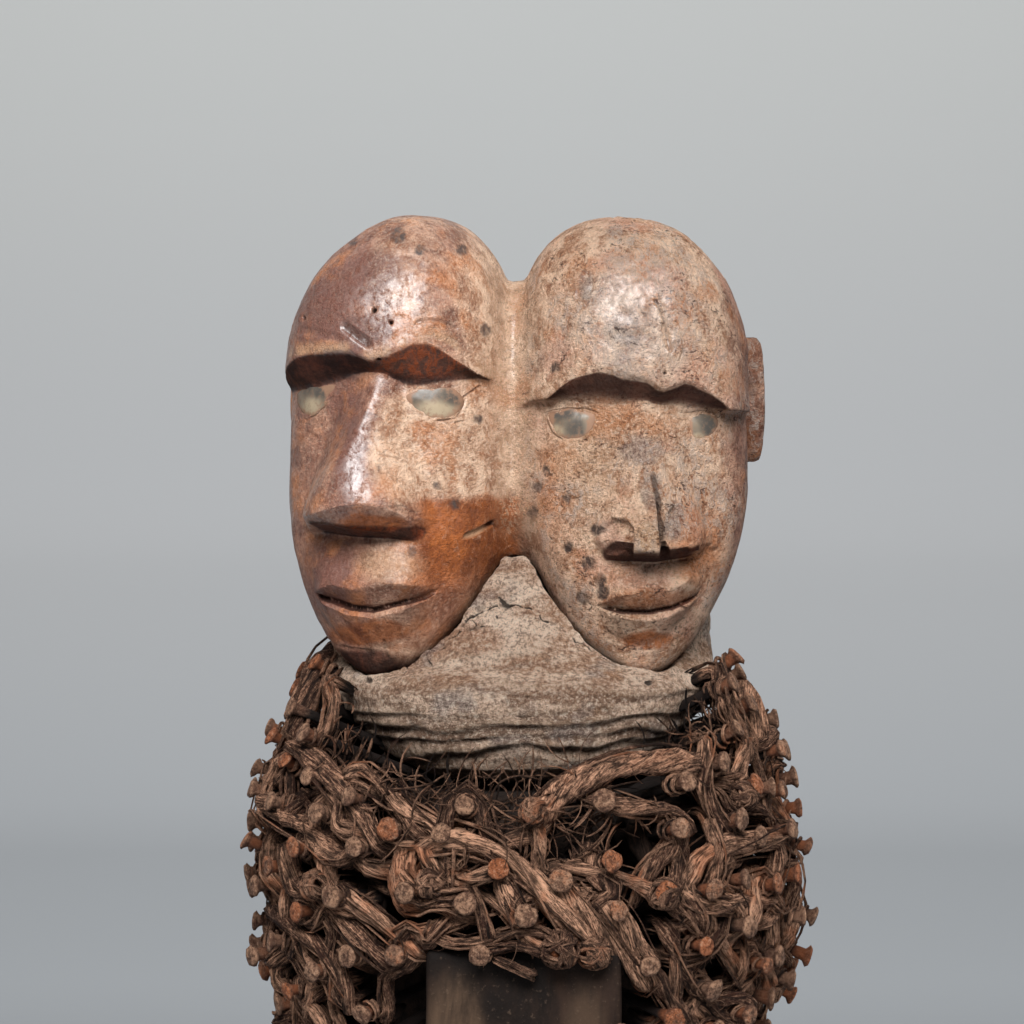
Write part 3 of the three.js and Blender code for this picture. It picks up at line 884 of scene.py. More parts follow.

# %% [markdown]
# The wood's colours lie in regions, and each region is one number at each of the net's points,
# worked out here and mixed in the finish. The left head is dark and purplish on the side away
# from the other, polished on brow and nose, and amber on one cheek. The right one is dusty, with a
# flaking crust that is partly a painted highlight on its forehead, and its dust thins towards its
# far side, which paints that side darker as painted shade. Pale dust lies in the crease between
# them. The undersides, the corners and the wood under the thicket are painted nearly black as
# painted shade, and a painted highlight lies along the left brow and on the left philtrum.

# %% Where each colour of the wood lies
waver = rough_noise(wood_points, 9.0, 51)
column_w, row_w = column + 4 * waver, row + 4 * rough_noise(wood_points, 9.0, 57)
facing = step(-wood_normals[:, 1], -0.1, 0.35) * step(-wood_points[:, 1], -22, -2)
left_head = (1 - right_head) * step(wood_points[:, 2], 288, 296)
left_u, left_v = LEFT.local(wood_points[:, 0], wood_points[:, 1])
right_u, right_v = RIGHT.local(wood_points[:, 0], wood_points[:, 1])
left_ridge = np.interp(wood_points[:, 2], *LEFT.ridge.T)


def between(value, rising, falling):
    """1 from one slope to the next, each given as the values where it starts and ends."""
    return step(value, *rising) * (1 - step(value, *falling))


def under_brow(head, u, v, full):
    edge, foot = along(head.brow_edge, u), along(head.brow_foot, u)
    height = wood_points[:, 2]
    share = (height - foot) / np.maximum(edge - foot, 1.0)
    below_edge = 1 - step(height, edge - 1.0, edge + 0.3)
    return step(share, -0.35, full) * below_edge * step(v, 8, 16)


left_shade = under_brow(LEFT, left_u, left_v, 0.2)
right_shade = under_brow(RIGHT, right_u, right_v, 0.85)
brow_shade = np.where(wood_points[:, 0] < -2, left_shade, right_shade)
brow_shade = brow_shade * step(-wood_normals[:, 2], 0.02, 0.3)
# Column, row and half sizes of the dark purplish parts of the left head.
PURPLE = [
    (348, 440, 17, 66), (322, 302, 34, 48), (372, 272, 30, 26), (326, 352, 36, 18),
    (330, 572, 26, 40), (372, 330, 34, 16),
]
purple = np.clip(patches(column_w, row_w, PURPLE, 0.4), 0, 1) * left_head
amber = left_head * facing * step(column_w, 402, 430) * step(row + 3 * waver, 490, 503)
amber = amber * (1 - 0.7 * step(row_w, 560, 620))
amber = np.maximum(amber, brow_shade * left_head * patch(column_w, row, (425, 358), (55, 18)))
# How strong, where and how large the smaller amber places are, and how soft their edges.
AMBER = [
    (1.0, (375, 522), (34, 9), 0.25),
    (0.8, (370, 632), (44, 11), 0.25),
    (0.9, (648, 640), (26, 9), 0.25),
    (0.3, (550, 505), (24, 60), 0.6),
    (0.6, (650, 600), (48, 9), 0.5),
    (0.6, (700, 545), (26, 40), 0.5),
]
for strength, *oval_place in AMBER:
    amber = np.maximum(amber, strength * facing * patch(column_w, row_w, *oval_place))
gash = facing * patch(column, row + 0.45 * (column - 478), (477, 531), (13, 3.5), 0.4)
# Pale raw wood in the gash and on the broken nose, a paler right cheek, and a painted highlight on the left
# philtrum.
pale_and_highlight = facing * np.maximum(
    patch(column, row_w, (648, 538), (12, 16)),
    0.6 * patch(column_w, row, (388, 565), (30, 16), 0.5),
)
pale_and_highlight = np.maximum(pale_and_highlight, gash)
pale_and_highlight = np.maximum(pale_and_highlight, 0.35 * facing * patch(column_w, row_w, (585, 470), (34, 44), 0.5))
# A painted highlight along the top of the left brow's edge, which is also polished.
above_brow = wood_points[:, 2] - along(LEFT.brow_edge, left_u)
brow_gleam = facing * left_head * between(above_brow, (-0.4, 0.6), (1.5, 5))
pale_and_highlight = np.maximum(pale_and_highlight, 0.7 * brow_gleam * step(rough_noise(wood_points, 6.0, 63), -0.6, 0.2))
left_dust = 0.35 + 0.45 * patch(column_w, row_w, (432, 445), (60, 62), 0.3)
left_dust = (left_dust + 0.4 * step(column_w, 445, 490)) * step(column_w, 352, 378)
left_dust = left_dust + 0.3 * patch(column_w, row_w, (318, 470), (22, 80), 0.4)
# On the right head the dust thins towards its far side, which paints that side darker as painted shade.
right_dust_and_side_shade = 0.92 - 0.7 * step(right_u + 3 * waver, 16, 36) + 0.2 * waver
dust_and_side_shade = np.where(right_head > 0.5, right_dust_and_side_shade, np.maximum(left_dust, 0.1))
crease_place = -3 - 0.05 * (wood_points[:, 2] - 390)
crease_dust = (1 - step(np.abs(wood_points[:, 0] - crease_place), 3, 11)) * facing
dust_and_side_shade = np.clip(np.maximum(dust_and_side_shade, crease_dust * step(wood_points[:, 2], 330, 340)), 0, 1)
grit = crease_dust * step(wood_points[:, 2], 338, 346)
# Painted shade: darker under the brows and in corners where the wood turns inwards.
painted_shade = np.maximum(brow_shade * (1 - 0.35 * amber), 0.7 * step(wood_hollow, 0.6, 1.0))
painted_shade = np.clip(painted_shade, 0, 1)
# Painted shadow under each nose, and painted shade under each upper lip.
for head, own, u in ((LEFT, left_head, left_u), (RIGHT, right_head, right_u)):
    height = wood_points[:, 2]
    foot, mouth, lip = (along(line, u) for line in (head.nose_foot, head.mouth, head.lip_top))
    low, high = head.nose_foot[[0, -1], 0]
    below_nose = between(height, (foot - 5, foot - 0.5), (foot + 0.5, foot + 3))
    below_nose *= between(u, (low, low + 3), (high - 3, high))
    painted_shade = np.maximum(painted_shade, own * facing * below_nose * step(-wood_normals[:, 2], 0.0, 0.5))
    low, high = head.mouth[[0, -1], 0]
    lip_shade = between(height, (mouth - 1, mouth + 0.5), (lip - 3, lip))
    lip_shade *= between(u, (low, low + 2), (high - 2, high))
    painted_shade = np.maximum(painted_shade, 0.25 * own * facing * lip_shade)
crust_and_highlight = right_head * step(rough_noise(wood_points, 16.0, 61), -0.1, 0.5)
# The whole right forehead counts as crust: partly real flaking crust, partly a painted highlight where the
# forehead catches the light.
crust_and_highlight = np.maximum(crust_and_highlight, patch(column, row, (640, 320), (70, 60)) * facing)
# Painted shade: the wood under the thicket and the neck behind the pack are painted nearly black.
unlit_shade = step(-wood_points[:, 2], -FACE_FOOT, -282) * step(wood_points[:, 2], 118, 135)
behind_pack = (np.abs(stack_field(NECK, *wood_points.T)) < 0.8) & (wood_points[:, 2] > 280)
unlit_shade = np.maximum(unlit_shade, behind_pack * step(-wood_points[:, 1], -4, 4))
# Column, row and half sizes of bluish grey smears, then column, row and radius of dark round spots.
SMEARS = [
    (652, 492, 13, 18), (676, 524, 9, 19), (585, 285, 8, 17), (625, 330, 16, 12), (640, 452, 22, 14),
]
SPOTS = [
    (537, 487, 5), (568, 547, 6), (588, 563, 7), (600, 580, 6), (583, 598, 7), (603, 593, 7),
    (455, 504, 5), (478, 420, 5), (485, 330, 6), (398, 236, 8), (420, 250, 5), (462, 250, 6),
    (352, 240, 5), (437, 486, 4), (533, 512, 5), (546, 470, 4), (380, 468, 3), (555, 368, 5),
    (566, 498, 4), (411, 552, 5), (596, 530, 6),
]
smear = patches(column_w, row_w, SMEARS) * facing
round_spots = [(x, y, size, size) for x, y, size in SPOTS]
spot = patches(column + 1.5 * waver, row - waver, round_spots, 0.12) * facing
polish = left_head * (1 - 0.5 * dust_and_side_shade) * (1 - 0.75 * step(row, 515, 545))
polish = polish + 0.8 * patch(column, row, (640, 325), (75, 60), 0.5) * facing
polish = np.clip(polish + 0.5 * brow_gleam, 0, 1)
# Painted shade under the left chin, and under the right head's left nose wing.
painted_shade = np.maximum(painted_shade, 0.9 * facing * patch(column_w, row_w, (360, 668), (44, 20), 0.5))
painted_shade = np.maximum(painted_shade, 0.8 * facing * patch(column, row, (620, 549), (15, 6)))
wood_marks = {
    "purple": purple,
    "amber": amber,
    "dust_and_side_shade": dust_and_side_shade,
    "grit": grit,
    "shade": painted_shade,
    "crust_and_highlight": crust_and_highlight,
    # Painted shade in the cuts and in the deeply sunk chips.
    "cut": np.clip(np.maximum(cut_depth, -chipped - 1.8) / 1.2, 0, 1) * (1 - gash),
    "unlit_shade": unlit_shade,
    "right": right_head,
    "smear": np.clip(smear, 0, 1),
    "spot": np.clip(spot, 0, 1),
    "pale_and_highlight": pale_and_highlight,
    "polish": polish * (1 - painted_shade) * (1 - unlit_shade),
}
carved_wood = make_piece("carved_wood", worn_points, [wood_faces], marks=wood_marks)
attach(carved_wood, "root")
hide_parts("carved_figure")

# %% [markdown]
# Blender's shader nodes do sums one node at a time. This small class wraps a socket, so that sums
# on it can be written as plain expressions, and a material is then a page of short lines. All
# other nodes come from one method that sets a node up and links its inputs.

# %% A way to write shader maths
# The sockets of the Mix node that take and give colours.
MIX_SHARE, MIX_FIRST, MIX_SECOND, MIX_COLOUR = 0, 6, 7, 2


class Shade:
    """A value in a material, which sums can be done with."""

    def __init__(self, finish, socket):
        self.finish = finish
        self.socket = socket

    def sum(self, operation, *values):
        return self.finish.node("ShaderNodeMath", {"operation": operation}, dict(enumerate(values)))

    def __add__(self, other):
        return self.sum("ADD", self, other)

    def __sub__(self, other):
        return self.sum("SUBTRACT", self, other)

    def __rsub__(self, other):
        return self.sum("SUBTRACT", other, self)

    def __mul__(self, other):
        return self.sum("MULTIPLY", self, other)

    __radd__ = __add__
    __rmul__ = __mul__

    def rise(self, low, high):
        """0 below low, 1 above high, smooth between; falls where high is below low."""
        inputs = {"Value": self, "From Min": low, "From Max": high}
        return self.finish.node("ShaderNodeMapRange", {"interpolation_type": "SMOOTHSTEP"}, inputs)


class Finish:
    """A material that is written down as sums and mixes."""

    def __init__(self, name):
        self.material = bpy.data.materials.new(name)
        self.material.use_nodes = True
        self.tree = self.material.node_tree
        self.tree.nodes.clear()

    def node(self, kind, settings, inputs, output=0):
        made = self.tree.nodes.new(kind)
        for key, value in settings.items():
            setattr(made, key, value)
        for key, value in inputs.items():
            if isinstance(value, Shade):
                self.tree.links.new(value.socket, made.inputs[key])
            else:
                made.inputs[key].default_value = value
        return Shade(self, made.outputs[output])

    def place(self):
        return self.node("ShaderNodeTexCoord", {}, {}, "Object")

    def mark(self, name):
        """A value that the mesh carries at each vertex."""
        return self.node("ShaderNodeAttribute", {"attribute_name": name}, {}, "Fac")

    def stretched(self, vector, scale):
        return self.node("ShaderNodeVectorMath", {"operation": "MULTIPLY"}, {0: vector, 1: scale})

    def clouds(self, vector, scale, detail=4, roughness=0.55, distortion=0.0):
        """Noise from 0 to 1."""
        inputs = {"Vector": vector, "Scale": scale, "Detail": detail}
        inputs |= {"Roughness": roughness, "Distortion": distortion}
        return self.node("ShaderNodeTexNoise", {}, inputs)

    def mix(self, share, first, second):
        inputs = {MIX_SHARE: share, MIX_FIRST: first, MIX_SECOND: second}
        return self.node("ShaderNodeMix", {"data_type": "RGBA"}, inputs, MIX_COLOUR)

    def coated(self, colour, *coats):
        """A colour under coats of paint: (share, red, green, blue) each, from the lowest up."""
        for share, *tint in coats:
            colour = self.mix(share, colour, paint(*tint))
        return colour

    def raised(self, height, strength, distance):
        """A normal bent by a height in metres."""
        inputs = {"Height": height, "Strength": strength, "Distance": distance}
        return self.node("ShaderNodeBump", {}, inputs)

    def surface(self, **inputs):
        """Ends the material with a Principled surface."""
        named = {key.replace("_", " "): value for key, value in inputs.items()}
        shader = self.node("ShaderNodeBsdfPrincipled", {}, named)
        output = self.tree.nodes.new("ShaderNodeOutputMaterial")
        self.tree.links.new(shader.socket, output.inputs["Surface"])
        return self.material


def paint(red, green, blue):
    """A shader colour from 0 to 255 screen values."""
    values = np.array((red, green, blue)) / 255
    linear = np.where(values < 0.04045, values / 12.92, ((values + 0.055) / 1.055) ** 2.4)
    return (*map(float, linear), 1.0)


# %% [markdown]
# The nails stand out all round the torso, and their heads make a rounded outer surface, the rim.
# Where the photograph shows a head clearly, its place is named by pixel. All the other heads are
# scattered over the rim, never closer to each other than the real ones are.

# %% Where the nails are
# Height and half width.
RIM = [
    (128, 62), (140, 73), (152, 81), (180, 89), (208, 94.5), (226, 96), (250, 94.5), (265, 91.5),
    (286, 83), (306, 70),
]
RIM_DEPTH = 0.93  # the rim is a little shallower than wide
FAN_HEIGHT = 218.0  # nails point level here, up above it and down below it
NAIL_GAP = 14.5  # between the middles of two heads, at least
NAIL_TRIES = 12000
NAIL_HEIGHTS = (133, 302)
FULL_TURN = 6.28
# Column and row.
FRONT_NAILS = [
    (464, 805), (440, 833), (498, 869), (403, 893), (314, 812), (352, 847), (329, 897), (294, 912),
    (393, 956), (479, 956), (291, 847), (265, 866), (285, 992), (360, 1015), (347, 796), (310, 972),
    (533, 813), (605, 800), (689, 781), (682, 828), (613, 861), (561, 881), (668, 893), (716, 890),
    (744, 819), (726, 761), (759, 784), (752, 927), (708, 947), (651, 967), (716, 991), (597, 952),
    (562, 950), (526, 916), (752, 1016), (676, 1021), (301, 732), (289, 706),
]
# Nails whose sides are seen against the background: column, row, and how far they point down.
EDGE_NAILS = [
    (293, 686, -0.5), (268, 726, -0.35), (254, 767, -0.1), (249, 821, 0.0), (250, 841, 0.0),
    (246, 872, 0.1), (249, 887, 0.15), (254, 920, 0.1), (261, 951, 0.1), (262, 970, 0.2),
    (742, 670, -0.6), (777, 718, -0.1), (796, 776, -0.2), (800, 807, 0.0), (809, 846, 0.2),
    (815, 916, 0.3), (809, 956, 0.4), (794, 966, 0.45), (793, 995, 0.5),
]
BOX_REACH = (-43.0, 34.0)  # no nail stands in front of the box between these
# Height, and there half the pack's width.
PACK_SIDE = [(258, 38), (264, 50), (272, 59), (286, 64.5), (300, 66.5), (318, 67)]
thicket_random = np.random.default_rng(11)


def rim_half(z):
    return through(RIM, z)


def outward(points, fan=0.006):
    """The direction in which nails stand at places round the torso."""
    rise = (points[..., 2] - FAN_HEIGHT) * fan
    flat = points[..., :2] / np.linalg.norm(points[..., :2], axis=-1, keepdims=True)
    way = np.concatenate([flat, rise[..., None]], axis=-1)
    return way / np.linalg.norm(way, axis=-1, keepdims=True)


def rim_place(bearing, z):
    half = rim_half(z)
    return np.stack([half * np.sin(bearing), -RIM_DEPTH * half * np.cos(bearing), z], axis=-1)


def is_free(points, room=0.0):
    """False in front of the pack and the box."""
    x, y, z = np.asarray(points).T
    before_pack = (y < 14) & (z > 259) & (np.abs(x) < np.interp(z, *np.array(PACK_SIDE).T) + room)
    before_box = (y < -40) & (x > BOX_REACH[0] + 9 - room) & (x < BOX_REACH[1] - room) & (z < 209)
    return not (before_pack | before_box).any()


def rim_seen(places, under=0.0):
    """Where the camera sees a surface that lies under the rim."""
    halves = [(z, half - under) for z, half in RIM]
    form = [(z, half, half * RIM_DEPTH, half * RIM_DEPTH) for z, half in halves]
    columns, rows = np.array(places, dtype=float).T
    return seen_on(lambda x, y, z: stack_field(form, x, y, z, 2.0), columns, rows)


def scatter_nails():
    front = rim_seen(FRONT_NAILS)
    tips = list(front)
    ways = list(outward(front))
    for column, row, droop in EDGE_NAILS:
        side = 1 if column > AXIS_COLUMN else -1
        reach = abs(column - AXIS_COLUMN) * PIXEL
        point = np.array([side * reach, -0.03 * reach, EYE_LEVEL - (row - PICTURE / 2) * PIXEL])
        way = np.array([side, 0.0, -droop])
        tips.append(point)
        ways.append(way / np.linalg.norm(way))
    for _ in range(NAIL_TRIES):
        z = thicket_random.uniform(*NAIL_HEIGHTS)
        point = rim_place(thicket_random.uniform(-math.pi, math.pi), z)
        point = point * (thicket_random.uniform(0.95, 1.02), thicket_random.uniform(0.95, 1.02), 1)
        gap = np.linalg.norm(np.array(tips) - point, axis=1).min()
        if gap > NAIL_GAP and is_free(point[None], 4.0):
            tips.append(point)
            way = outward(point) + thicket_random.normal(0, 0.13, 3)
            ways.append(way / np.linalg.norm(way))
    return np.array(tips), np.array(ways)


nail_tips, nail_ways = scatter_nails()
print(len(nail_tips), "nails")

# %% [markdown]
# An old forged or cut nail has a hammered, slightly domed head that isn't quite round, and a shank
# that flares into it. All the nails of one height band are one mesh: the same profile is turned
# round each nail's line, and every ring is pushed in and out a little by the nail's own random
# numbers.

# %% The nails
NAIL_SIDES = 12
# Distance behind the top of the head, and radius, from the top down to the point in the wood.
NAIL_PROFILE = [
    (-0.35, 0.0), (-0.3, 1.5), (-0.1, 2.7), (0.4, 3.35), (1.0, 3.45), (1.5, 2.9), (2.2, 2.1),
    (4.5, 1.85), (8.0, 1.75), (26.0, 1.6), (44.0, 1.3), (50.0, 0.3),
]


def across_ways(ways):
    """Two directions square to each way and to each other."""
    helper = np.where(np.abs(ways[..., 2:3]) > 0.9, (1.0, 0, 0), (0, 0, 1.0))
    first = np.cross(ways, helper)
    first /= np.linalg.norm(first, axis=-1, keepdims=True)
    return first, np.cross(ways, first)


def around(middle, first, second, radius, angle, flatness=1.0):
    """Places round a middle, at a radius and an angle between two directions."""
    aside = first * (radius * np.cos(angle))[..., None]
    return middle + aside + second * (flatness * radius * np.sin(angle))[..., None]


def ring_faces(count, rings, sides, start=0):
    """Quads between the rings of many tubes that are stored one after the other."""
    tube, ring, side = np.meshgrid(np.arange(count), np.arange(rings - 1), np.arange(sides), indexing="ij")
    base = (tube * rings + ring) * sides + start
    following = (side + 1) % sides
    quads = np.stack(
        [base + side, base + following, base + sides + following, base + sides + side], axis=-1,
    )
    return quads.reshape(-1, 4)


def end_faces(count, rings, sides, start=0):
    """The two end faces of many tubes."""
    first = np.arange(count)[:, None] * rings * sides + start
    low = first + np.arange(sides)[::-1]
    high = first + (rings - 1) * sides + np.arange(sides)
    return np.concatenate([low, high])


def make_nails(name, tips, ways, random):
    first, second = across_ways(ways)
    profile = np.array(NAIL_PROFILE)
    rings = len(profile)
    angle = np.arange(NAIL_SIDES) * 2 * math.pi / NAIL_SIDES
    count = len(tips)
    size = random.uniform(0.9, 1.12, (count, 1, 1))
    lobes = 0
    for k in (2, 3, 5):
        lobe = random.uniform(0, 0.04, (count, 1, 1))
        lobes = lobes + lobe * np.cos(k * angle + random.uniform(0, FULL_TURN, (count, 1, 1)))
    rough = random.uniform(-0.09, 0.09, (count, rings, NAIL_SIDES))
    radius = profile[:, 1][None, :, None] * size * (1 + lobes + rough)
    tilt = random.normal(0, 0.1, (count, 2))
    back = profile[:, 0][None, :, None] + radius * (
        tilt[:, :1, None] * np.cos(angle) + tilt[:, 1:, None] * np.sin(angle)
    )
    first, second, tips, ways = (value[:, None, None, :] for value in (first, second, tips, ways))
    points = around(tips - ways * back[..., None], first, second, radius, angle)
    own = np.repeat(random.uniform(0, 1, count), rings * NAIL_SIDES)
    behind = np.tile(np.repeat(profile[:, 0], NAIL_SIDES), count)
    faces = [ring_faces(count, rings, NAIL_SIDES), end_faces(count, rings, NAIL_SIDES)]
    return make_piece(name, points.reshape(-1, 3), faces, marks={"own": own, "behind": behind})


# %% [markdown]
# The fibre is bark, peeled in strips, twisted into hanks and dried hard. It is made the way it was
# tied: a hank starts beside one nail's shank, winds past it under the head, crosses to a
# neighbour, winds past that, and tucks in. A hank is a closed tube whose rings are pushed in along
# the gaps between its strips, with a slow twist, and a few strips have come loose from it. The
# tubes carry their own place along and round the hank, so that the fibres in the finish follow it.

# %% Hanks, strips and hairs
HANK_FLATNESS = 0.74
LOOSE_FLATNESS = 0.8


def smooth_path(points, count):
    """Evenly spaced places on a smooth curve through some points."""
    points = np.asarray(points, dtype=float)
    lengths = np.concatenate([[0], np.cumsum(np.linalg.norm(np.diff(points, axis=0), axis=1))])
    at = np.linspace(0, lengths[-1], count)
    return np.stack([through(np.stack([lengths, points[:, k]], axis=1), at) for k in range(3)], axis=1)


def carried_frames(paths):
    """Two directions square to each path, carried along it without twisting."""
    tangents = np.gradient(paths, axis=-2)
    tangents /= np.linalg.norm(tangents, axis=-1, keepdims=True) + 1e-9
    first = np.zeros_like(paths)
    first[..., 0, :] = across_ways(tangents[..., 0, :])[0]
    for i in range(1, paths.shape[-2]):
        carried = first[..., i - 1, :]
        tangent = tangents[..., i, :]
        carried = carried - tangent * np.sum(carried * tangent, axis=-1, keepdims=True)
        first[..., i, :] = carried / (np.linalg.norm(carried, axis=-1, keepdims=True) + 1e-9)
    return first, np.cross(tangents, first)


class Bundle:
    """Tubes of fibre that become one mesh."""

    def __init__(self):
        self.vertices, self.faces, self.marks = [], [], []
        self.count = 0

    def add(self, paths, thickness, sides, random, groove=0.4, taper=0.45):
        """Adds tubes along paths, all with equally many points, each of its own thickness."""
        count, points = paths.shape[:2]
        first, second = carried_frames(paths)
        steps_along = np.linalg.norm(np.diff(paths, axis=1), axis=2)
        distance = np.concatenate([np.zeros((count, 1)), np.cumsum(steps_along, axis=1)], axis=1)
        distance = distance[..., None]
        angle = np.arange(sides) * 2 * math.pi / sides
        turned = angle + distance * random.uniform(-0.1, 0.1, (count, 1, 1))
        away = random.uniform(0, 900, (count, 1, 1))
        lattice = np.broadcast_arrays(1.9 * np.cos(turned) + away, 1.9 * np.sin(turned), distance / 15)
        place = np.stack(lattice, axis=-1)
        ridge = np.clip(np.abs(noise(place, 1.0, 21)) / 0.42, 0, 1)
        finer = np.clip(np.abs(noise(place, 0.45, 22)) / 0.5, 0, 1)
        swell = 1 + 0.3 * noise(place[:, :, :1] * (0, 1, 2) + away[..., None] * (1, 0, 0), 1.0, 23)
        ends = np.linspace(0, 1, points)[:, None]
        ends = taper + (1 - taper) * step(np.minimum(ends, 1 - ends), 0, 0.12)
        sunk_in = 1 - groove * (0.75 * (1 - ridge) + 0.25 * (1 - finer))
        ring = 0.5 * thickness[:, None, None] * ends * swell * sunk_in
        first, second, paths = (value[:, :, None, :] for value in (first, second, paths))
        vertices = around(paths, first, second, ring, angle, HANK_FLATNESS)
        self.faces += [
            ring_faces(count, points, sides, self.count),
            end_faces(count, points, sides, self.count),
        ]
        self.count += count * points * sides
        self.vertices.append(vertices.reshape(-1, 3))
        own = random.uniform(0, 1, (count, 1, 1))
        deep = rim_half(vertices[..., 2]) - np.hypot(vertices[..., 0], vertices[..., 1] / RIM_DEPTH)
        values = (own, distance, np.cos(turned), np.sin(turned), deep, 1 - ridge)
        self.marks.append(np.stack([np.broadcast_to(value, ring.shape).ravel() for value in values]))

    def piece(self, name):
        marks = np.concatenate(self.marks, axis=1)
        names = ("own", "along", "round_cos", "round_sin", "deep", "groove")
        return make_piece(name, np.concatenate(self.vertices), self.faces, marks=dict(zip(names, marks)))


def loose_strips(paths, thickness, strips, random):
    """Paths beside each hank's own, that part from it and come back."""
    first, second = carried_frames(paths)
    first, second, paths = (np.repeat(value, strips, axis=0) for value in (first, second, paths))
    thickness = np.repeat(thickness, strips)[:, None]
    count, points = paths.shape[:2]
    share = np.linspace(0, 1, points)
    angle = random.uniform(0, FULL_TURN, (count, 1)) + share * random.uniform(-5, 5, (count, 1))
    part = np.sin(share * random.uniform(3, 9, (count, 1)) + random.uniform(0, 6, (count, 1)))
    out = thickness * (0.5 + 0.12 * part + random.uniform(-0.05, 0.18, (count, 1)))
    return around(paths, first, second, out, angle, LOOSE_FLATNESS)


def windings(tips, ways, turns, start, end, radius, random, points):
    """Paths that wind round nails' shanks between two depths under their heads."""
    first, second = across_ways(ways)
    share = np.linspace(0, 1, points)
    angle = random.uniform(0, FULL_TURN, (len(tips), 1)) + share * turns * 2 * math.pi
    reach = radius * (1 + 0.16 * np.sin(angle * 0.43 + random.uniform(0, 6, (len(tips), 1))))
    depth = start + (end - start) * (share + 0.12 * np.sin(angle * 1.13))
    middle = tips[:, None] - ways[:, None] * depth[..., None]
    return around(middle, first[:, None], second[:, None], reach, angle)


def wound_balls(centres, ways, radius, loops, random):
    """Strips wound over each other round a knot, in loops of every slant."""
    centres, ways, radius = (np.repeat(value, loops, axis=0) for value in (centres, ways, radius))
    axis = np.cross(ways, random.normal(0, 1, ways.shape))
    axis = axis + ways * random.normal(0, 0.8, (len(ways), 1))
    axis /= np.linalg.norm(axis, axis=1, keepdims=True)
    first, second = across_ways(axis)
    angle = random.uniform(0, FULL_TURN, (len(ways), 1)) + np.linspace(0, 7, 24)
    shift = random.uniform(-0.6, 0.6, (len(ways), 1))
    reach = radius[:, None] * np.sqrt(1 - shift**2) * (0.92 + 0.08 * np.sin(3 * angle))
    middle = centres[:, None] + axis[:, None] * (shift * radius[:, None])[..., None]
    return around(middle, first[:, None], second[:, None], reach, angle)


def hairs(starts, ways, length, curl, random, points=10):
    """Thin fibres that curl over the surface, and never reach far out of it."""
    share = np.linspace(0, 1, points)[:, None]
    first, second = across_ways(ways)
    heading = random.uniform(0, FULL_TURN, (len(starts), 1))
    along_surface = first * np.cos(heading) + second * np.sin(heading)
    aside = np.cross(ways, along_surface)
    reach = length * random.uniform(0.4, 1.2, (len(starts), 1, 1))
    angle = share * random.normal(0, curl, (len(starts), 1, 1)) * 3
    lift = random.uniform(-0.3, 0.35, (len(starts), 1, 1)) * np.sin(share * 3)
    run = along_surface[:, None] * (share * np.cos(angle)) + aside[:, None] * (share * np.sin(angle))
    return starts[:, None] + reach * (run + ways[:, None] * lift)


# %% [markdown]
# First the hanks that the photograph shows best, drawn over the picture and laid under the heads.
# Then the others: from each nail to one or two near neighbours, at random depths, so that they
# cross over and under each other as the real ones do. A second layer lies deeper, where only its
# dark shapes show.

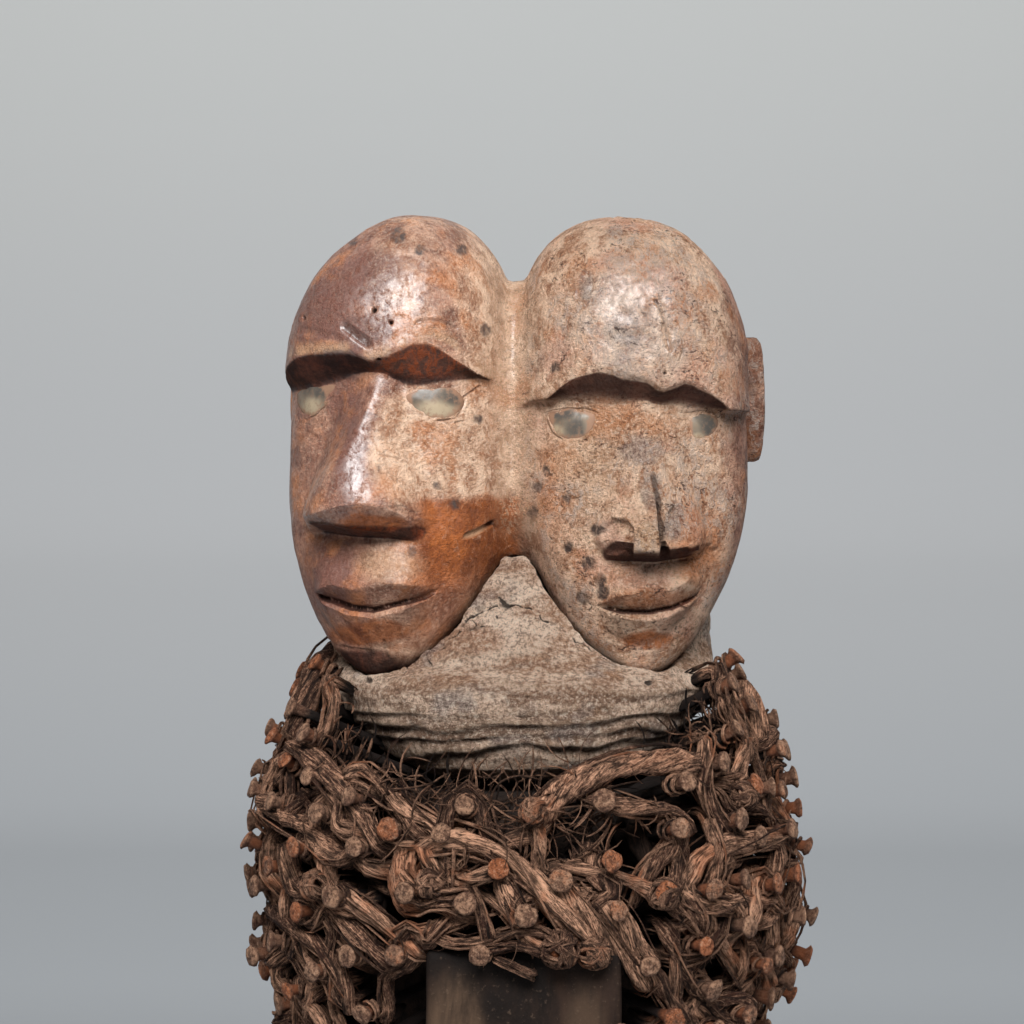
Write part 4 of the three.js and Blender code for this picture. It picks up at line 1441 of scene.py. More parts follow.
# %% Where the hanks run
# Thickness in millimetres, how far under the heads, and the pixels that the hank runs through.
DRAWN_HANKS = [
    (
        10.5, 7,
        [(430, 846), (447, 841), (475, 844), (505, 856), (530, 878), (556, 908), (578, 934), (586, 946)],
    ),
    (10.0, 8, [(558, 888), (575, 903), (605, 932), (632, 962), (648, 978)]),
    (4.0, 6, [(472, 880), (478, 898), (484, 918), (488, 938)]),
    (4.2, 6, [(434, 934), (448, 941), (466, 942), (488, 938)]),
    (6.0, 6, [(404, 872), (420, 888), (440, 896), (462, 892)]),
    (4.5, 6, [(408, 890), (425, 904), (446, 902)]),
    (5.5, 6, [(500, 938), (520, 932), (545, 934), (560, 944)]),
    (5.0, 6, [(492, 950), (515, 946), (540, 952)]),
    (3.4, 5, [(500, 960), (515, 966), (531, 973)]),
    (7.0, 7, [(400, 940), (414, 930), (428, 944), (440, 930)]),
    (7.5, 7, [(610, 905), (625, 925), (640, 950), (652, 965)]),
    (10.0, 7, [(545, 812), (560, 795), (590, 777), (635, 764), (670, 762), (694, 766)]),
    (8.0, 8, [(598, 800), (620, 806), (650, 808), (672, 812), (686, 826)]),
    (
        5.5, 6,
        [(447, 826), (452, 806), (464, 792), (474, 795), (480, 815), (495, 860), (506, 885), (521, 912)],
    ),
    (10.0, 8, [(297, 748), (307, 754), (339, 785), (362, 815), (380, 845)]),
    (10.0, 8, [(272, 798), (290, 816), (319, 837), (345, 860), (362, 850)]),
    (7.5, 8, [(350, 776), (360, 772), (386, 793), (405, 815), (420, 832)]),
    (7.0, 8, [(338, 890), (352, 902), (378, 920), (405, 942), (416, 950)]),
    (10.0, 8, [(690, 880), (697, 862), (712, 850), (745, 842), (778, 838)]),
    (7.5, 9, [(678, 924), (700, 912), (722, 904), (750, 902), (772, 898)]),
    (7.5, 8, [(702, 740), (704, 760), (704, 785), (712, 808), (728, 830)]),
    (7.0, 8, [(676, 832), (678, 855), (676, 880), (668, 898)]),
    (7.5, 9, [(572, 866), (600, 872), (640, 885), (660, 896)]),
    (6.5, 8, [(535, 825), (540, 850), (538, 875), (552, 888)]),
    (7.0, 9, [(664, 925), (675, 950), (690, 980), (715, 1010), (740, 1030)]),
    (7.0, 9, [(700, 900), (712, 930), (735, 965), (765, 1000)]),
    (7.5, 9, [(655, 975), (670, 1000), (690, 1024), (705, 1040)]),
    (8.0, 8, [(262, 905), (290, 925), (325, 950), (345, 980), (350, 1010)]),
    (7.0, 9, [(330, 905), (335, 930), (330, 960), (345, 1000)]),
    (7.5, 9, [(300, 880), (325, 900), (355, 930), (390, 960)]),
    (6.0, 9, [(745, 745), (760, 780), (765, 820), (780, 860)]),
    (6.0, 8, [(724, 782), (734, 786), (741, 765), (743, 744)]),
    (5.0, 7, [(720, 792), (728, 807), (747, 805)]),
    (7.0, 8, [(757, 748), (780, 763), (786, 800), (792, 830)]),
    (11.0, 7, [(722, 652), (738, 680), (750, 710), (762, 742)]),
    (8.0, 8, [(716, 672), (724, 702), (738, 728), (747, 756)]),
    (8.0, 6, [(324, 640), (314, 672), (303, 706), (292, 738)]),
    (6.0, 5, [(318, 640), (306, 665), (296, 700), (290, 722)]),
    (5.0, 9, [(330, 680), (334, 706), (328, 728), (316, 748)]),
    (7.0, 8, [(286, 712), (280, 745), (276, 775), (268, 800)]),
    (6.5, 7, [(396, 800), (415, 815), (436, 826), (450, 850), (455, 880)]),
    (6.5, 6, [(428, 850), (440, 870), (462, 882), (492, 872)]),
    (7.0, 7, [(505, 885), (512, 905), (524, 930), (540, 945), (562, 952)]),
    (7.0, 8, [(655, 890), (690, 925), (710, 948)]),
    (7.0, 9, [(757, 925), (775, 905), (790, 880), (800, 850)]),
]
# Column, row and radius of knots with strip wound over them.
WOUND = [
    (560, 950, 6.2), (594, 953, 5.4), (533, 812, 4.4), (664, 895, 5.0), (430, 884, 4.6),
    (316, 885, 4.8), (744, 796, 4.6),
]
# Column, row, number and length of frayed ends.
TUFTS = [
    (455, 872, 110, 5), (526, 912, 70, 4), (515, 772, 10, 11), (482, 780, 8, 10), (385, 770, 8, 9),
    (570, 768, 8, 9),
]
# The same for strands that cross the dark gaps far behind.
VEILS = [
    (352, 752, 50, 10), (385, 796, 60, 13), (430, 812, 70, 17), (480, 820, 70, 17),
    (540, 820, 70, 17), (600, 808, 70, 17), (684, 748, 50, 10), (708, 718, 40, 10),
]
SCATTERED_THICKNESS = (4.5, 9.0)
TUCKED = 12  # how far the ends of a drawn hank go in


def laid_under(places, under):
    """Drawn places on a surface that lies under the rim."""
    points = rim_seen(places, under)
    reach = np.hypot(points[:, 0], points[:, 1] / RIM_DEPTH)
    points[:, :2] *= np.minimum(1, (rim_half(points[:, 2]) - under) / reach)[:, None]
    return points


def drawn_paths():
    paths = []
    for thickness, under, places in DRAWN_HANKS:
        points = laid_under(places, under)
        ways = outward(points)
        ends = [points[:1] - TUCKED * ways[:1], points[-1:] - TUCKED * ways[-1:]]
        points = np.concatenate([ends[0], points, ends[1]])
        paths.append((points, thickness))
    return paths


def tied_path(a, way_a, b, way_b, depths, random):
    """A hank's path: up beside one nail, across to the other, and down beside that."""
    run = b - a
    run = run / np.linalg.norm(run)
    middle_way = (way_a + way_b) / 2
    aside = np.cross(run, middle_way)
    turn_a, turn_b = random.choice([-1, 1], 2)
    under_a, under_b, under_mid = random.uniform(*depths, 3)
    return np.array(
        [
            a - (under_a + 14) * way_a + 1.5 * turn_a * aside - 4 * run,
            a - (under_a + 3) * way_a + 3.4 * turn_a * aside - 4 * run,
            a - under_a * way_a + 4.0 * turn_a * aside + 2 * run,
            (a + b) / 2 - (under_mid - 1) * middle_way + random.normal(0, 1.0, 3),
            b - under_b * way_b + 4.0 * turn_b * aside - 2 * run,
            b - (under_b + 3) * way_b + 3.4 * turn_b * aside + 4 * run,
            b - (under_b + 14) * way_b + 1.5 * turn_b * aside + 4 * run,
        ]
    )


def tie_nails(tips, ways, depths, reach, most, random):
    """Hanks between near neighbours: (points, thickness) for each."""
    paths = []
    links = set()
    for i, tip in enumerate(tips):
        gaps = np.linalg.norm(tips - tip, axis=1)
        near = [j for j in np.argsort(gaps)[1:7] if gaps[j] < reach]
        near = [j for j in near if (min(i, j), max(i, j)) not in links]
        random.shuffle(near)
        for j in near[: random.integers(1, most + 1)]:
            path = tied_path(tip, ways[i], tips[j], ways[j], depths, random)
            links.add((min(i, j), max(i, j)))
            if is_free(path):
                paths.append((path, random.uniform(*SCATTERED_THICKNESS)))
    return paths


outer_hanks = drawn_paths() + tie_nails(nail_tips, nail_ways, (6.5, 11), 30, 2, thicket_random)
inner_hanks = tie_nails(nail_tips, nail_ways, (15, 27), 34, 2, thicket_random)
print(len(outer_hanks), "hanks in sight and", len(inner_hanks), "deeper ones")

# %% Nails and fibre as pieces
ROW_NODES = [f"bound_nails_row_{row}" for row in range(1, 7)]
BAND_HEIGHTS = (0, 190, 238, 500)
BANDS = ("lower", "middle", "upper")
STRAYS = 120  # single fibres that stand off the hanks of a band
WOUND_SHARE = 0.75  # of the nails, how many have a coil of their own
FRONT_EDGE = 12.0  # hanks in front of this are seen closely, and get a finer mesh


def band_of(height):
    return int(np.searchsorted(BAND_HEIGHTS, height)) - 1


def laid(hanks, points):
    """Smooth paths and thicknesses of some hanks."""
    paths = np.array([smooth_path(places, points) for places, _ in hanks])
    return paths, np.array([thickness for _, thickness in hanks])


def nails_in(band):
    return [i for i, tip in enumerate(nail_tips) if band_of(tip[2]) == band]


def fibre_band(band, random):
    bundle = Bundle()
    some = [hank for hank in outer_hanks if band_of(hank[0][len(hank[0]) // 2][2]) == band]
    for hanks, points, sides, strips in (
        ([hank for hank in some if hank[0][:, 1].mean() < FRONT_EDGE], 26, 16, 4),
        ([hank for hank in some if hank[0][:, 1].mean() >= FRONT_EDGE], 17, 10, 2),
    ):
        paths, thickness = laid(hanks, points)
        bundle.add(paths, thickness, sides, random)
        loose = loose_strips(paths[:, ::2], thickness, strips, random)
        bundle.add(loose, random.uniform(0.6, 1.7, len(loose)), 5, random, 0.3, 0.3)
        stray = paths[random.integers(0, len(paths), STRAYS), random.integers(3, points - 3, STRAYS)]
        stray = stray + 2 * outward(stray)
        thin = random.uniform(0.3, 0.75, STRAYS)
        bundle.add(hairs(stray, outward(stray), 7, 0.5, random), thin, 3, random, 0, 0.3)
    nails = [i for i in nails_in(band) if random.uniform() < WOUND_SHARE]
    coils = windings(nail_tips[nails], nail_ways[nails], 2.6, 3.5, 10, 3.0, random, 26)
    bundle.add(coils, random.uniform(1.2, 2.2, len(coils)), 5, random, 0.3)
    return bundle


nail_pieces = []
fibre_pieces = []
for band, name in enumerate(BANDS):
    some = nails_in(band)
    nail_pieces.append(make_nails("nails_" + name, nail_tips[some], nail_ways[some], thicket_random))
    fibre_pieces.append(fibre_band(band, thicket_random).piece("fibre_" + name))

inner = Bundle()
inner.add(*laid(inner_hanks, 14), 8, thicket_random)
wound = laid_under([place[:2] for place in WOUND], 4)
balls = wound_balls(wound, outward(wound), np.array([place[2] for place in WOUND]), 26, thicket_random)
inner.add(balls, thicket_random.uniform(1.0, 2.2, len(balls)), 5, thicket_random, 0.3)
for places, under, spread_out, thickest in ((TUFTS, 6, 2.2, 0.8), (VEILS, 13, 4.0, 1.3)):
    for column, row, number, length in places:
        tuft = laid_under([(column, row)] * number, under)
        tuft = tuft + thicket_random.normal(0, spread_out, (number, 3))
        thin = thicket_random.uniform(0.35, thickest, number)
        frayed = hairs(tuft, outward(tuft), length, 0.22, thicket_random, 8)
        inner.add(frayed, thin, 3, thicket_random, 0, 0.3)
fibre_pieces.append(inner.piece("fibre_inner"))

# %% [markdown]
# The pack was pressed on round the neck as wet earth, resin and ash, and has dried as hard as
# pottery. It is a bowl with wavy ledges where it was smoothed by hand, cracks at its upper edge, and
# a gap along the jaws, where it shrank away from the wood.

# %% The pack under the chins
# Height, half width, front and back.
PACK = [
    (259.0, 20, 22, 24), (262.0, 33, 36, 36), (265.0, 42, 42, 42), (270.0, 49, 46, 47),
    (275.0, 54, 49, 50), (283.0, 60, 51, 53), (290.0, 63.5, 50, 54.5), (295.0, 65, 43, 54.5),
    (299.0, 65.4, 31, 53), (304.0, 65.4, 24, 52), (314.0, 65, 20, 50), (319.0, 63, 18, 46),
]
# Height, leftmost and rightmost place, and front of the earth pressed up between the chins.
TONGUE = [
    (282, -50, 50, 44), (290, -52, 48, 43.5), (296, -46, 42, 40.5), (300, -41, 36, 37),
    (304, -36, 31, 34), (309, -31, 27, 31), (314, -27, 23, 28.5), (320, -22, 18, 25),
    (326, -17, 13, 21), (334, -11, 7, 14.5),
]
# Width and depth, and the pixels that each ledge's groove runs through.
LEDGES = [
    (1.3, 1.5, [(404, 732), (430, 735), (462, 736), (497, 731), (540, 728), (578, 728), (653, 717)]),
    (1.1, 1.2, [(404, 742), (444, 744), (497, 742), (551, 736), (578, 736), (650, 734)]),
    (1.5, 1.3, [(422, 763), (476, 758), (524, 749), (591, 750), (653, 741)]),
    (1.2, 1.0, [(388, 688), (430, 692), (492, 690), (560, 694), (620, 700)]),
    (1.0, 0.8, [(400, 718), (450, 722), (520, 716), (600, 712)]),
    (1.6, 0.8, [(420, 664), (480, 668), (540, 664), (600, 676)]),
]
# The same for its cracks.
PACK_CRACKS = [
    (
        0.7, 1.6,
        [
            (404, 662), (412, 656), (426, 653), (440, 650), (452, 640), (462, 626), (472, 616),
            (486, 610), (498, 605),
        ],
    ),
    (0.6, 0.9, [(500, 596), (508, 603), (519, 603), (530, 607), (540, 612), (549, 620)]),
    (0.7, 1.2, [(576, 636), (586, 644), (598, 653), (612, 661), (626, 667)]),
    (0.5, 0.9, [(409, 659), (405, 666), (404, 673), (412, 676)]),
    (0.4, 0.7, [(426, 654), (431, 662), (431, 671), (424, 675)]),
    (0.4, 0.7, [(471, 616), (476, 624), (488, 628), (497, 622), (498, 606)]),
    (0.4, 0.6, [(602, 674), (616, 668), (632, 672), (650, 670)]),
]
HEAD_GAP = 0.9  # between the dried pack and the jaws


def pack_form(x, y, z):
    heights, left, right, front = np.array(TONGUE, dtype=np.float32).T
    left, right, front = (np.interp(z, heights, values) for values in (left, right, front))
    tongue = oval(x - (left + right) / 2, -y, (right - left) / 2, 0.0, front, 2.4)
    tongue = soft_max(tongue, np.maximum(y - 5, np.abs(z - 308) - 26), 2.0)
    return soft_min(stack_field(PACK, x, y, z, 2.1), tongue, 6.0)


def pack_field(x, y, z):
    heads = soft_min(head_field(LEFT, x, y, z), head_field(RIGHT, x, y, z), 3.0)
    return soft_max(pack_form(x, y, z), HEAD_GAP - heads, 1.2)


class Ledge:
    """A groove round the pack, as heights by bearing from the front."""

    def __init__(self, width, depth, places):
        columns, rows = np.array(places, dtype=float).T
        points = seen_on(pack_form, columns, rows)
        self.bearings = np.arctan2(points[:, 0], -points[:, 1])
        self.heights = points[:, 2]
        self.width = width
        self.depth = depth

    def relief(self, bearing, z):
        away = (z - np.interp(bearing, self.bearings, self.heights)) / self.width
        return -self.depth * np.exp(-(away**2)) + 0.5 * self.depth * np.exp(-((away - 1.7) ** 2))


# Column, row and half sizes of the ochre places by the left jaw.
OCHRE = [(466, 640, 34, 13), (425, 652, 22, 9)]
pack_cracks = [Cut(*crack, pack_form) for crack in PACK_CRACKS]
pack_axes = [spread((-70, 71, 2.0)), spread((-58, 60, 2.0)), spread((252, 345, 1.7))]
pack_points, pack_faces = surface_net(pack_field, pack_axes)


def pack_length(place, bend):
    front = (place[:, 1] < 5) & (place[:, 2] < 345)
    length = np.where(front, np.where(bend > 0.01, 1.0, 1.6), 3.4)
    for crack in pack_cracks:
        length[crack.distance(place) < crack.width + 0.6] = 0.5
    return length


pack_points, pack_faces = refine(pack_field, pack_points, pack_faces, pack_length, 3)
pack_normals = slope_of(pack_field, pack_points)[0]
bearing = np.arctan2(pack_points[:, 0], -pack_points[:, 1])
wavering = pack_points + 1.2 * np.stack([noise(pack_points, 2.4, 80 + k) for k in range(3)], axis=1)
cracked = np.zeros(len(pack_points))
for crack in pack_cracks:
    near = 1 - step(crack.distance(wavering), crack.width * 0.3, crack.width)
    cracked = np.maximum(cracked, crack.depth * near)
heads_near = figure_field(*pack_points.T)
by_head = 1 - step(heads_near + 1.0 * noise(pack_points, 5.0, 75), 0.6, 2.0)
waved = pack_points[:, 2] + 1.7 * noise(pack_points, 9.0, 70)
sunk = sum(Ledge(*ledge).relief(bearing, waved) for ledge in LEDGES)
sunk = sunk * step(-pack_points[:, 1], -40, 5) * (0.75 + 0.5 * noise(pack_points, 15.0, 72))
lumps = 0.8 * rough_noise(pack_points, 22.0, 90) + 0.3 * rough_noise(pack_points, 3.0, 93)
plates = step(pack_points[:, 2], 298, 306) * np.floor(2.2 * noise(wavering, 9.0, 97)) * 0.5
crumbling = 1 - step(pack_cracks[0].distance(pack_points), 2.0, 10.0)
crumbs = crumbling * np.floor(3 * noise(wavering, 4.5, 98)) * 0.4
column, row = to_picture(pack_points)
ochre = patches(column, row, OCHRE, 0.5)
pack_relief = sunk + lumps + plates + crumbs - cracked - 0.9 * by_head
pack_points = pack_points + pack_normals * pack_relief[:, None]
pack_marks = {
    # Painted shade in the grooves of the ledges.
    "sunk": np.clip(-sunk / 1.2, 0, 1),
    # Painted shade in the cracks, in the crumbled hollows, and along the gap by the jaws.
    "crack": np.clip(cracked / 0.6 + 0.9 * by_head - np.minimum(crumbs, 0) * 0.7, 0, 1),
    # A painted highlight on the raised lip over each groove.
    "ledge_highlight": np.clip(sunk / 0.5, 0, 1),
    "level": step(pack_points[:, 2], 276, 304),
    "ochre": ochre,
}
pack = make_piece("hardened_pack", pack_points, [pack_faces], marks=pack_marks)
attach(pack, "root")
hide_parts("neck_pack")

# %% [markdown]
# The box on the belly is a block with a flat face, whose edges have been knocked and rounded. It is
# a field with eased corners, like the rest.

# %% The box on the belly
BOX_LOW, BOX_HIGH = node_box("belly_box")
BOX_EDGE = 2.2  # the radius of its edges


def box_field(x, y, z):
    middle, half = (BOX_LOW + BOX_HIGH) / 2, (BOX_HIGH - BOX_LOW) / 2
    inner = half - BOX_EDGE
    away = [np.abs(value - centre) - size for value, centre, size in zip((x, y, z), middle, inner)]
    outside = np.sqrt(sum(np.maximum(a, 0) ** 2 for a in away))
    inside = np.minimum(np.maximum(np.maximum(away[0], away[1]), away[2]), 0)
    return outside + inside - BOX_EDGE


box_axes = [spread((low - 3, high + 3, 2.0)) for low, high in zip(BOX_LOW, BOX_HIGH)]
box_points, box_faces = surface_net(box_field, box_axes)
box_normals = slope_of(box_field, box_points)[0]
dents = 0.25 * rough_noise(box_points, 14.0, 40) + 0.15 * noise(box_points * (1, 1, 0.12), 2.5, 44)
column, row = to_picture(box_points)
box_worn = 0.9 * patch(column, row, (455, 1040), (28, 60), 0.4)
box_worn = box_worn + 0.5 * patch(column, row, (585, 1040), (20, 50), 0.4)
box_worn *= box_points[:, 1] < BOX_LOW[1] + 6
# Painted shade: the box's top, under the fibre, is darker.
box_top_shade = 0.85 * step(box_points[:, 2], BOX_HIGH[2] - 9, BOX_HIGH[2] - 2)
box_shape = box_points + box_normals * (dents - 0.3)[:, None]
box_block = make_piece("belly_block", box_shape, [box_faces], marks={"worn": box_worn, "top": box_top_shade})
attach(box_block, "root")
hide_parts("belly_box")

# %% [markdown]
# Each eye is a chip of glass pressed into the face under the brow, cut to an almond. Its outline is
# drawn over the picture; its front follows the face and swells a little, and its back is hidden.

# %% The glass eyes
EYE_OUTLINES = {
    "glass_eye_left_head_outer": (
        LEFT,
        [
            (296, 392), (305, 386), (322, 384), (338, 384), (330, 396), (320, 410), (311, 417),
            (302, 412), (297, 402),
        ],
    ),
    "glass_eye_left_head_inner": (
        LEFT,
        [
            (393, 395), (410, 389), (432, 387), (452, 388), (463, 398), (460, 410), (452, 418),
            (438, 420), (422, 414), (406, 404),
        ],
    ),
    "glass_eye_right_head_inner": (
        RIGHT,
        [
            (546, 414), (560, 411), (580, 411), (596, 414), (594, 426), (585, 436), (572, 439),
            (558, 437), (549, 426),
        ],
    ),
    "glass_eye_right_head_outer": (
        RIGHT,
        [
            (686, 418), (696, 413), (710, 413), (718, 420), (716, 431), (706, 438), (694, 440),
            (687, 431),
        ],
    ),
}
EYE_RINGS, EYE_SPOKES = 12, 48
EYE_SWELL, EYE_SUNK, EYE_THICK = 1.1, 0.2, 3.0
# Column, row and half sizes of milky places in the glass, filmy ones and dim ones.
MILKY = [(436, 410, 20, 9), (312, 408, 10, 9), (556, 431, 7, 6), (699, 437, 7, 4)]
FILMY = [(402, 397, 13, 11), (336, 388, 14, 9), (598, 424, 9, 14), (548, 418, 5, 10), (686, 426, 6, 12)]
DIM = [(456, 397, 13, 8), (575, 427, 9, 9), (709, 427, 9, 9), (322, 390, 22, 7), (560, 414, 16, 4)]


def face_depth(head, u, z):
    """How far out the plain face stands."""
    near, far = np.zeros_like(u), np.full_like(u, 60.0)
    for _ in range(24):
        middle = (near + far) / 2
        inside = ovoid(head, u, middle, z) < 0
        near, far = np.where(inside, middle, near), np.where(inside, far, middle)
    return near


def make_eye(name, head, places):
    outline = drawn(head, 0, *places)
    centre = outline.mean(axis=0)
    arms = outline - centre
    angles = np.arctan2(arms[:, 1], arms[:, 0])
    order = np.argsort(angles)
    spokes = np.linspace(-math.pi, math.pi, EYE_SPOKES, endpoint=False)
    lengths = np.interp(spokes, angles[order], np.linalg.norm(arms, axis=1)[order], period=2 * math.pi)
    share = np.linspace(1, 0.02, EYE_RINGS)[:, None]
    u = centre[0] + share * lengths * np.cos(spokes)
    z = centre[1] + share * lengths * np.sin(spokes)
    front = face_depth(head, u, z) - EYE_SUNK + EYE_SWELL * (1 - share**2)
    back = face_depth(head, u[:1], z[:1]) - EYE_THICK
    u, z = (np.concatenate([value[:1], value]) for value in (u, z))
    points = head.world(u, np.concatenate([back, front]), z).reshape(-1, 3)
    column, row = to_picture(points)
    milky, filmy, dim = (
        np.clip(patches(column, row, clouded, 0.5), 0, 1) for clouded in (MILKY, FILMY, DIM)
    )
    rim = np.repeat(np.concatenate([[1], share[:, 0]]), EYE_SPOKES)
    faces = [ring_faces(1, EYE_RINGS + 1, EYE_SPOKES), end_faces(1, EYE_RINGS + 1, EYE_SPOKES)]
    marks = {"milky": milky, "dim": dim, "rim": np.clip(rim + 0.5 * filmy, 0, 1.2)}
    eye = make_piece(name.replace("glass_eye", "eye_glass"), points, faces, marks=marks)
    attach(eye, "root")
    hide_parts(name)
    return eye


eyes = [make_eye(name, *outline) for name, outline in EYE_OUTLINES.items()]

# %% [markdown]
# The finish of the wood mixes the regions' colours, breaks them up with clouds of several sizes,
# and lays speckles and grey spots over them. A thin coat gleams where hands have polished it, and
# dust and grit make it rougher.

# %% The finish of the wood


def wood_finish():
    wood = Finish("carved wood")
    place = wood.place()
    broad = wood.clouds(place, 38, 5, 0.6, 0.6)
    middle = wood.clouds(place, 150, 6, 0.7, 0.4)
    fine = wood.clouds(place, 850, 5, 0.75)
    flaky = wood.clouds(wood.stretched(place, (1.3, 1, 0.8)), 300, 6, 0.72, 0.8)
    flecks = wood.clouds(wood.stretched(place, (0.8, 1, 1.6)), 330, 4, 0.6, 1.5)
    scratches = wood.clouds(wood.stretched(place, (1.0, 1, 0.3)), 420, 4, 0.65, 1.0)
    dust_and_side_shade, right, grit = wood.mark("dust_and_side_shade"), wood.mark("right"), wood.mark("grit")
    shade, crust_and_highlight, amber = wood.mark("shade"), wood.mark("crust_and_highlight"), wood.mark("amber")
    polish = wood.mix(middle.rise(0.34, 0.66), paint(116, 74, 59), paint(184, 134, 110))
    dusty = wood.mix(middle.rise(0.36, 0.62), paint(180, 130, 98), paint(255, 216, 184))
    pitted = wood.clouds(place, 85, 4, 0.6).rise(0.4, 0.6)
    rusty = wood.clouds(place, 70, 4, 0.6).rise(0.48, 0.66)
    rosy = wood.clouds(place, 48, 4, 0.6).rise(0.5, 0.66)
    slate = wood.clouds(wood.stretched(place, (1, 1, 0.6)), 60, 4, 0.6).rise(0.6, 0.72)
    smear = wood.mark("smear") * middle.rise(0.36, 0.5)
    colour = wood.coated(
        wood.mix((dust_and_side_shade + (broad - 0.5) * 0.9).rise(0.2, 0.8), polish, dusty),
        (wood.mark("purple") * middle.rise(0.25, 0.6) * 0.85, 108, 68, 60),
        (rusty * 0.6, 206, 132, 82),
        (rosy * right * 0.5, 232, 176, 152),
    )
    honey = wood.mix(middle.rise(0.3, 0.7) * 0.7 + right * 0.3, paint(126, 62, 24), paint(210, 120, 56))
    colour = wood.coated(
        wood.mix(amber * (1.0 - flaky.rise(0.52, 0.7) * 0.6), colour, honey),
        # Pale raw wood, and painted highlights on the left brow and philtrum.
        (wood.mark("pale_and_highlight") * 0.85, 206, 164, 128),
        (flaky.rise(0.46, 0.4) * right * pitted * 0.6, 134, 82, 56),
        (slate * right * 0.4 + smear * 0.6, 120, 108, 106),
    )
    # Pale flakes of crust, which on the right forehead are partly a painted highlight.
    pale_crust_and_highlight = wood.mix(fine.rise(0.4, 0.6), paint(160, 128, 110), paint(240, 222, 208))
    colour = wood.coated(
        wood.mix(crust_and_highlight * flaky.rise(0.47, 0.54) * 0.6, colour, pale_crust_and_highlight),
        (grit * fine.rise(0.45, 0.6) * 0.7, 236, 200, 166),
        (flecks.rise(0.59, 0.64) * (0.25 + right * 0.45) * (pitted + 0.3), 66, 38, 28),
        (fine.rise(0.55, 0.61) * (0.2 + right * 0.15 + pitted * 0.25), 86, 51, 37),
        (fine.rise(0.47, 0.41) * dust_and_side_shade * (0.6 - amber * 0.55), 248, 218, 192),
        (wood.mark("spot") * (0.95 - flaky.rise(0.4, 0.6) * 0.4), 70, 57, 53),
    )
    # Painted shade: the shade mark darkens the wood to brown-black, and to dark amber where the wood is
    # amber.
    shade_colour = wood.mix(middle.rise(0.4, 0.7) + right * 0.3, paint(38, 18, 15), paint(88, 44, 30))
    amber_shade_colour = wood.mix(flaky.rise(0.4, 0.6), paint(48, 21, 12), paint(136, 62, 28))
    shade_colour = wood.mix(amber * 0.85, shade_colour, amber_shade_colour)
    colour = wood.mix((shade + (middle - 0.5) * 0.7 * shade).rise(0.1, 0.75) * 0.93, colour, shade_colour)
    # Painted shade in the cuts and deep chips.
    colour = wood.coated(colour, (wood.mark("cut").rise(0.3, 1.0) * 0.75, 42, 24, 18))
    # Painted shade: wood in the thicket's shade is painted nearly black.
    unlit_shade = wood.mark("unlit_shade")
    unlit = wood.mix(middle.rise(0.35, 0.65), paint(24, 16, 12), paint(58, 42, 33))
    colour = wood.mix(unlit_shade, colour, unlit)
    roughness = 0.5 + dust_and_side_shade * 0.12 + grit * 0.3 + (shade + unlit_shade) * 0.5
    roughness = roughness + (middle - 0.5) * 0.4 + (fine - 0.5) * 0.4
    relief = 0.5 + right * 0.9 + dust_and_side_shade * 0.6
    rough = middle * 0.8 + flaky * (1.2 + right * 0.8) + fine * 1.8 - flecks * 0.7
    height = broad * 0.6 + rough * relief + grit * fine * 1.5 + scratches * 0.7
    normal = wood.raised(height, 0.9, 0.002)
    unbroken = flaky.rise(0.6, 0.44) * 0.75 + fine.rise(0.6, 0.4) * 0.4
    coat = wood.mark("polish") * (1 - dust_and_side_shade * 0.3) * unbroken
    return wood.surface(
        Base_Color=colour,
        Roughness=roughness,
        Normal=normal,
        Specular_IOR_Level=0.22,
        Coat_Weight=coat,
        Coat_Roughness=0.4,
        Coat_IOR=1.9,
    )


def earth_finish():
    earth = Finish("hardened earth")
    place = earth.place()
    broad = earth.clouds(place, 30, 5, 0.6, 0.5)
    flat = earth.clouds(earth.stretched(place, (0.6, 0.6, 1.5)), 90, 6, 0.7, 0.3)
    grains = earth.clouds(place, 680, 5, 0.8)
    fine = earth.clouds(place, 1200, 4, 0.8)
    level = earth.mark("level")
    lower = earth.mix(flat.rise(0.4, 0.6), paint(142, 112, 91), paint(226, 192, 166))
    upper = earth.mix(flat.rise(0.4, 0.6), paint(194, 150, 120), paint(255, 224, 198))
    colour = earth.coated(
        earth.mix((level + (broad - 0.5) * 0.8).rise(0.2, 0.8), lower, upper),
        (broad.rise(0.52, 0.66) * 0.5, 186, 136, 96),
        (earth.mark("ochre") * flat.rise(0.4, 0.55) * 0.8, 172, 106, 62),
        (earth.clouds(place, 55, 3).rise(0.56, 0.68) * 0.5, 148, 140, 138),
        (grains.rise(0.51, 0.57) * 0.6, 88, 62, 48),
        (grains.rise(0.47, 0.42) * 0.5, 255, 236, 214),
        (fine.rise(0.55, 0.62) * 0.4, 62, 44, 36),
        # Painted highlight on the ledges' raised lips.
        (earth.mark("ledge_highlight") * 0.3, 190, 160, 132),
        # Painted shade in the ledges' grooves.
        (earth.mark("sunk").rise(0.2, 1.0) * 0.45, 66, 47, 37),
        # Painted shade in cracks and along the gap by the jaws.
        (earth.mark("crack").rise(0.25, 0.9) * 0.9, 32, 21, 17),
    )
    normal = earth.raised(broad * 0.5 + flat + grains * 2.4 + fine, 1.0, 0.0024)
    roughness = 0.85 + (fine - 0.5) * 0.4
    return earth.surface(Base_Color=colour, Roughness=roughness, Normal=normal, Specular_IOR_Level=0.3)


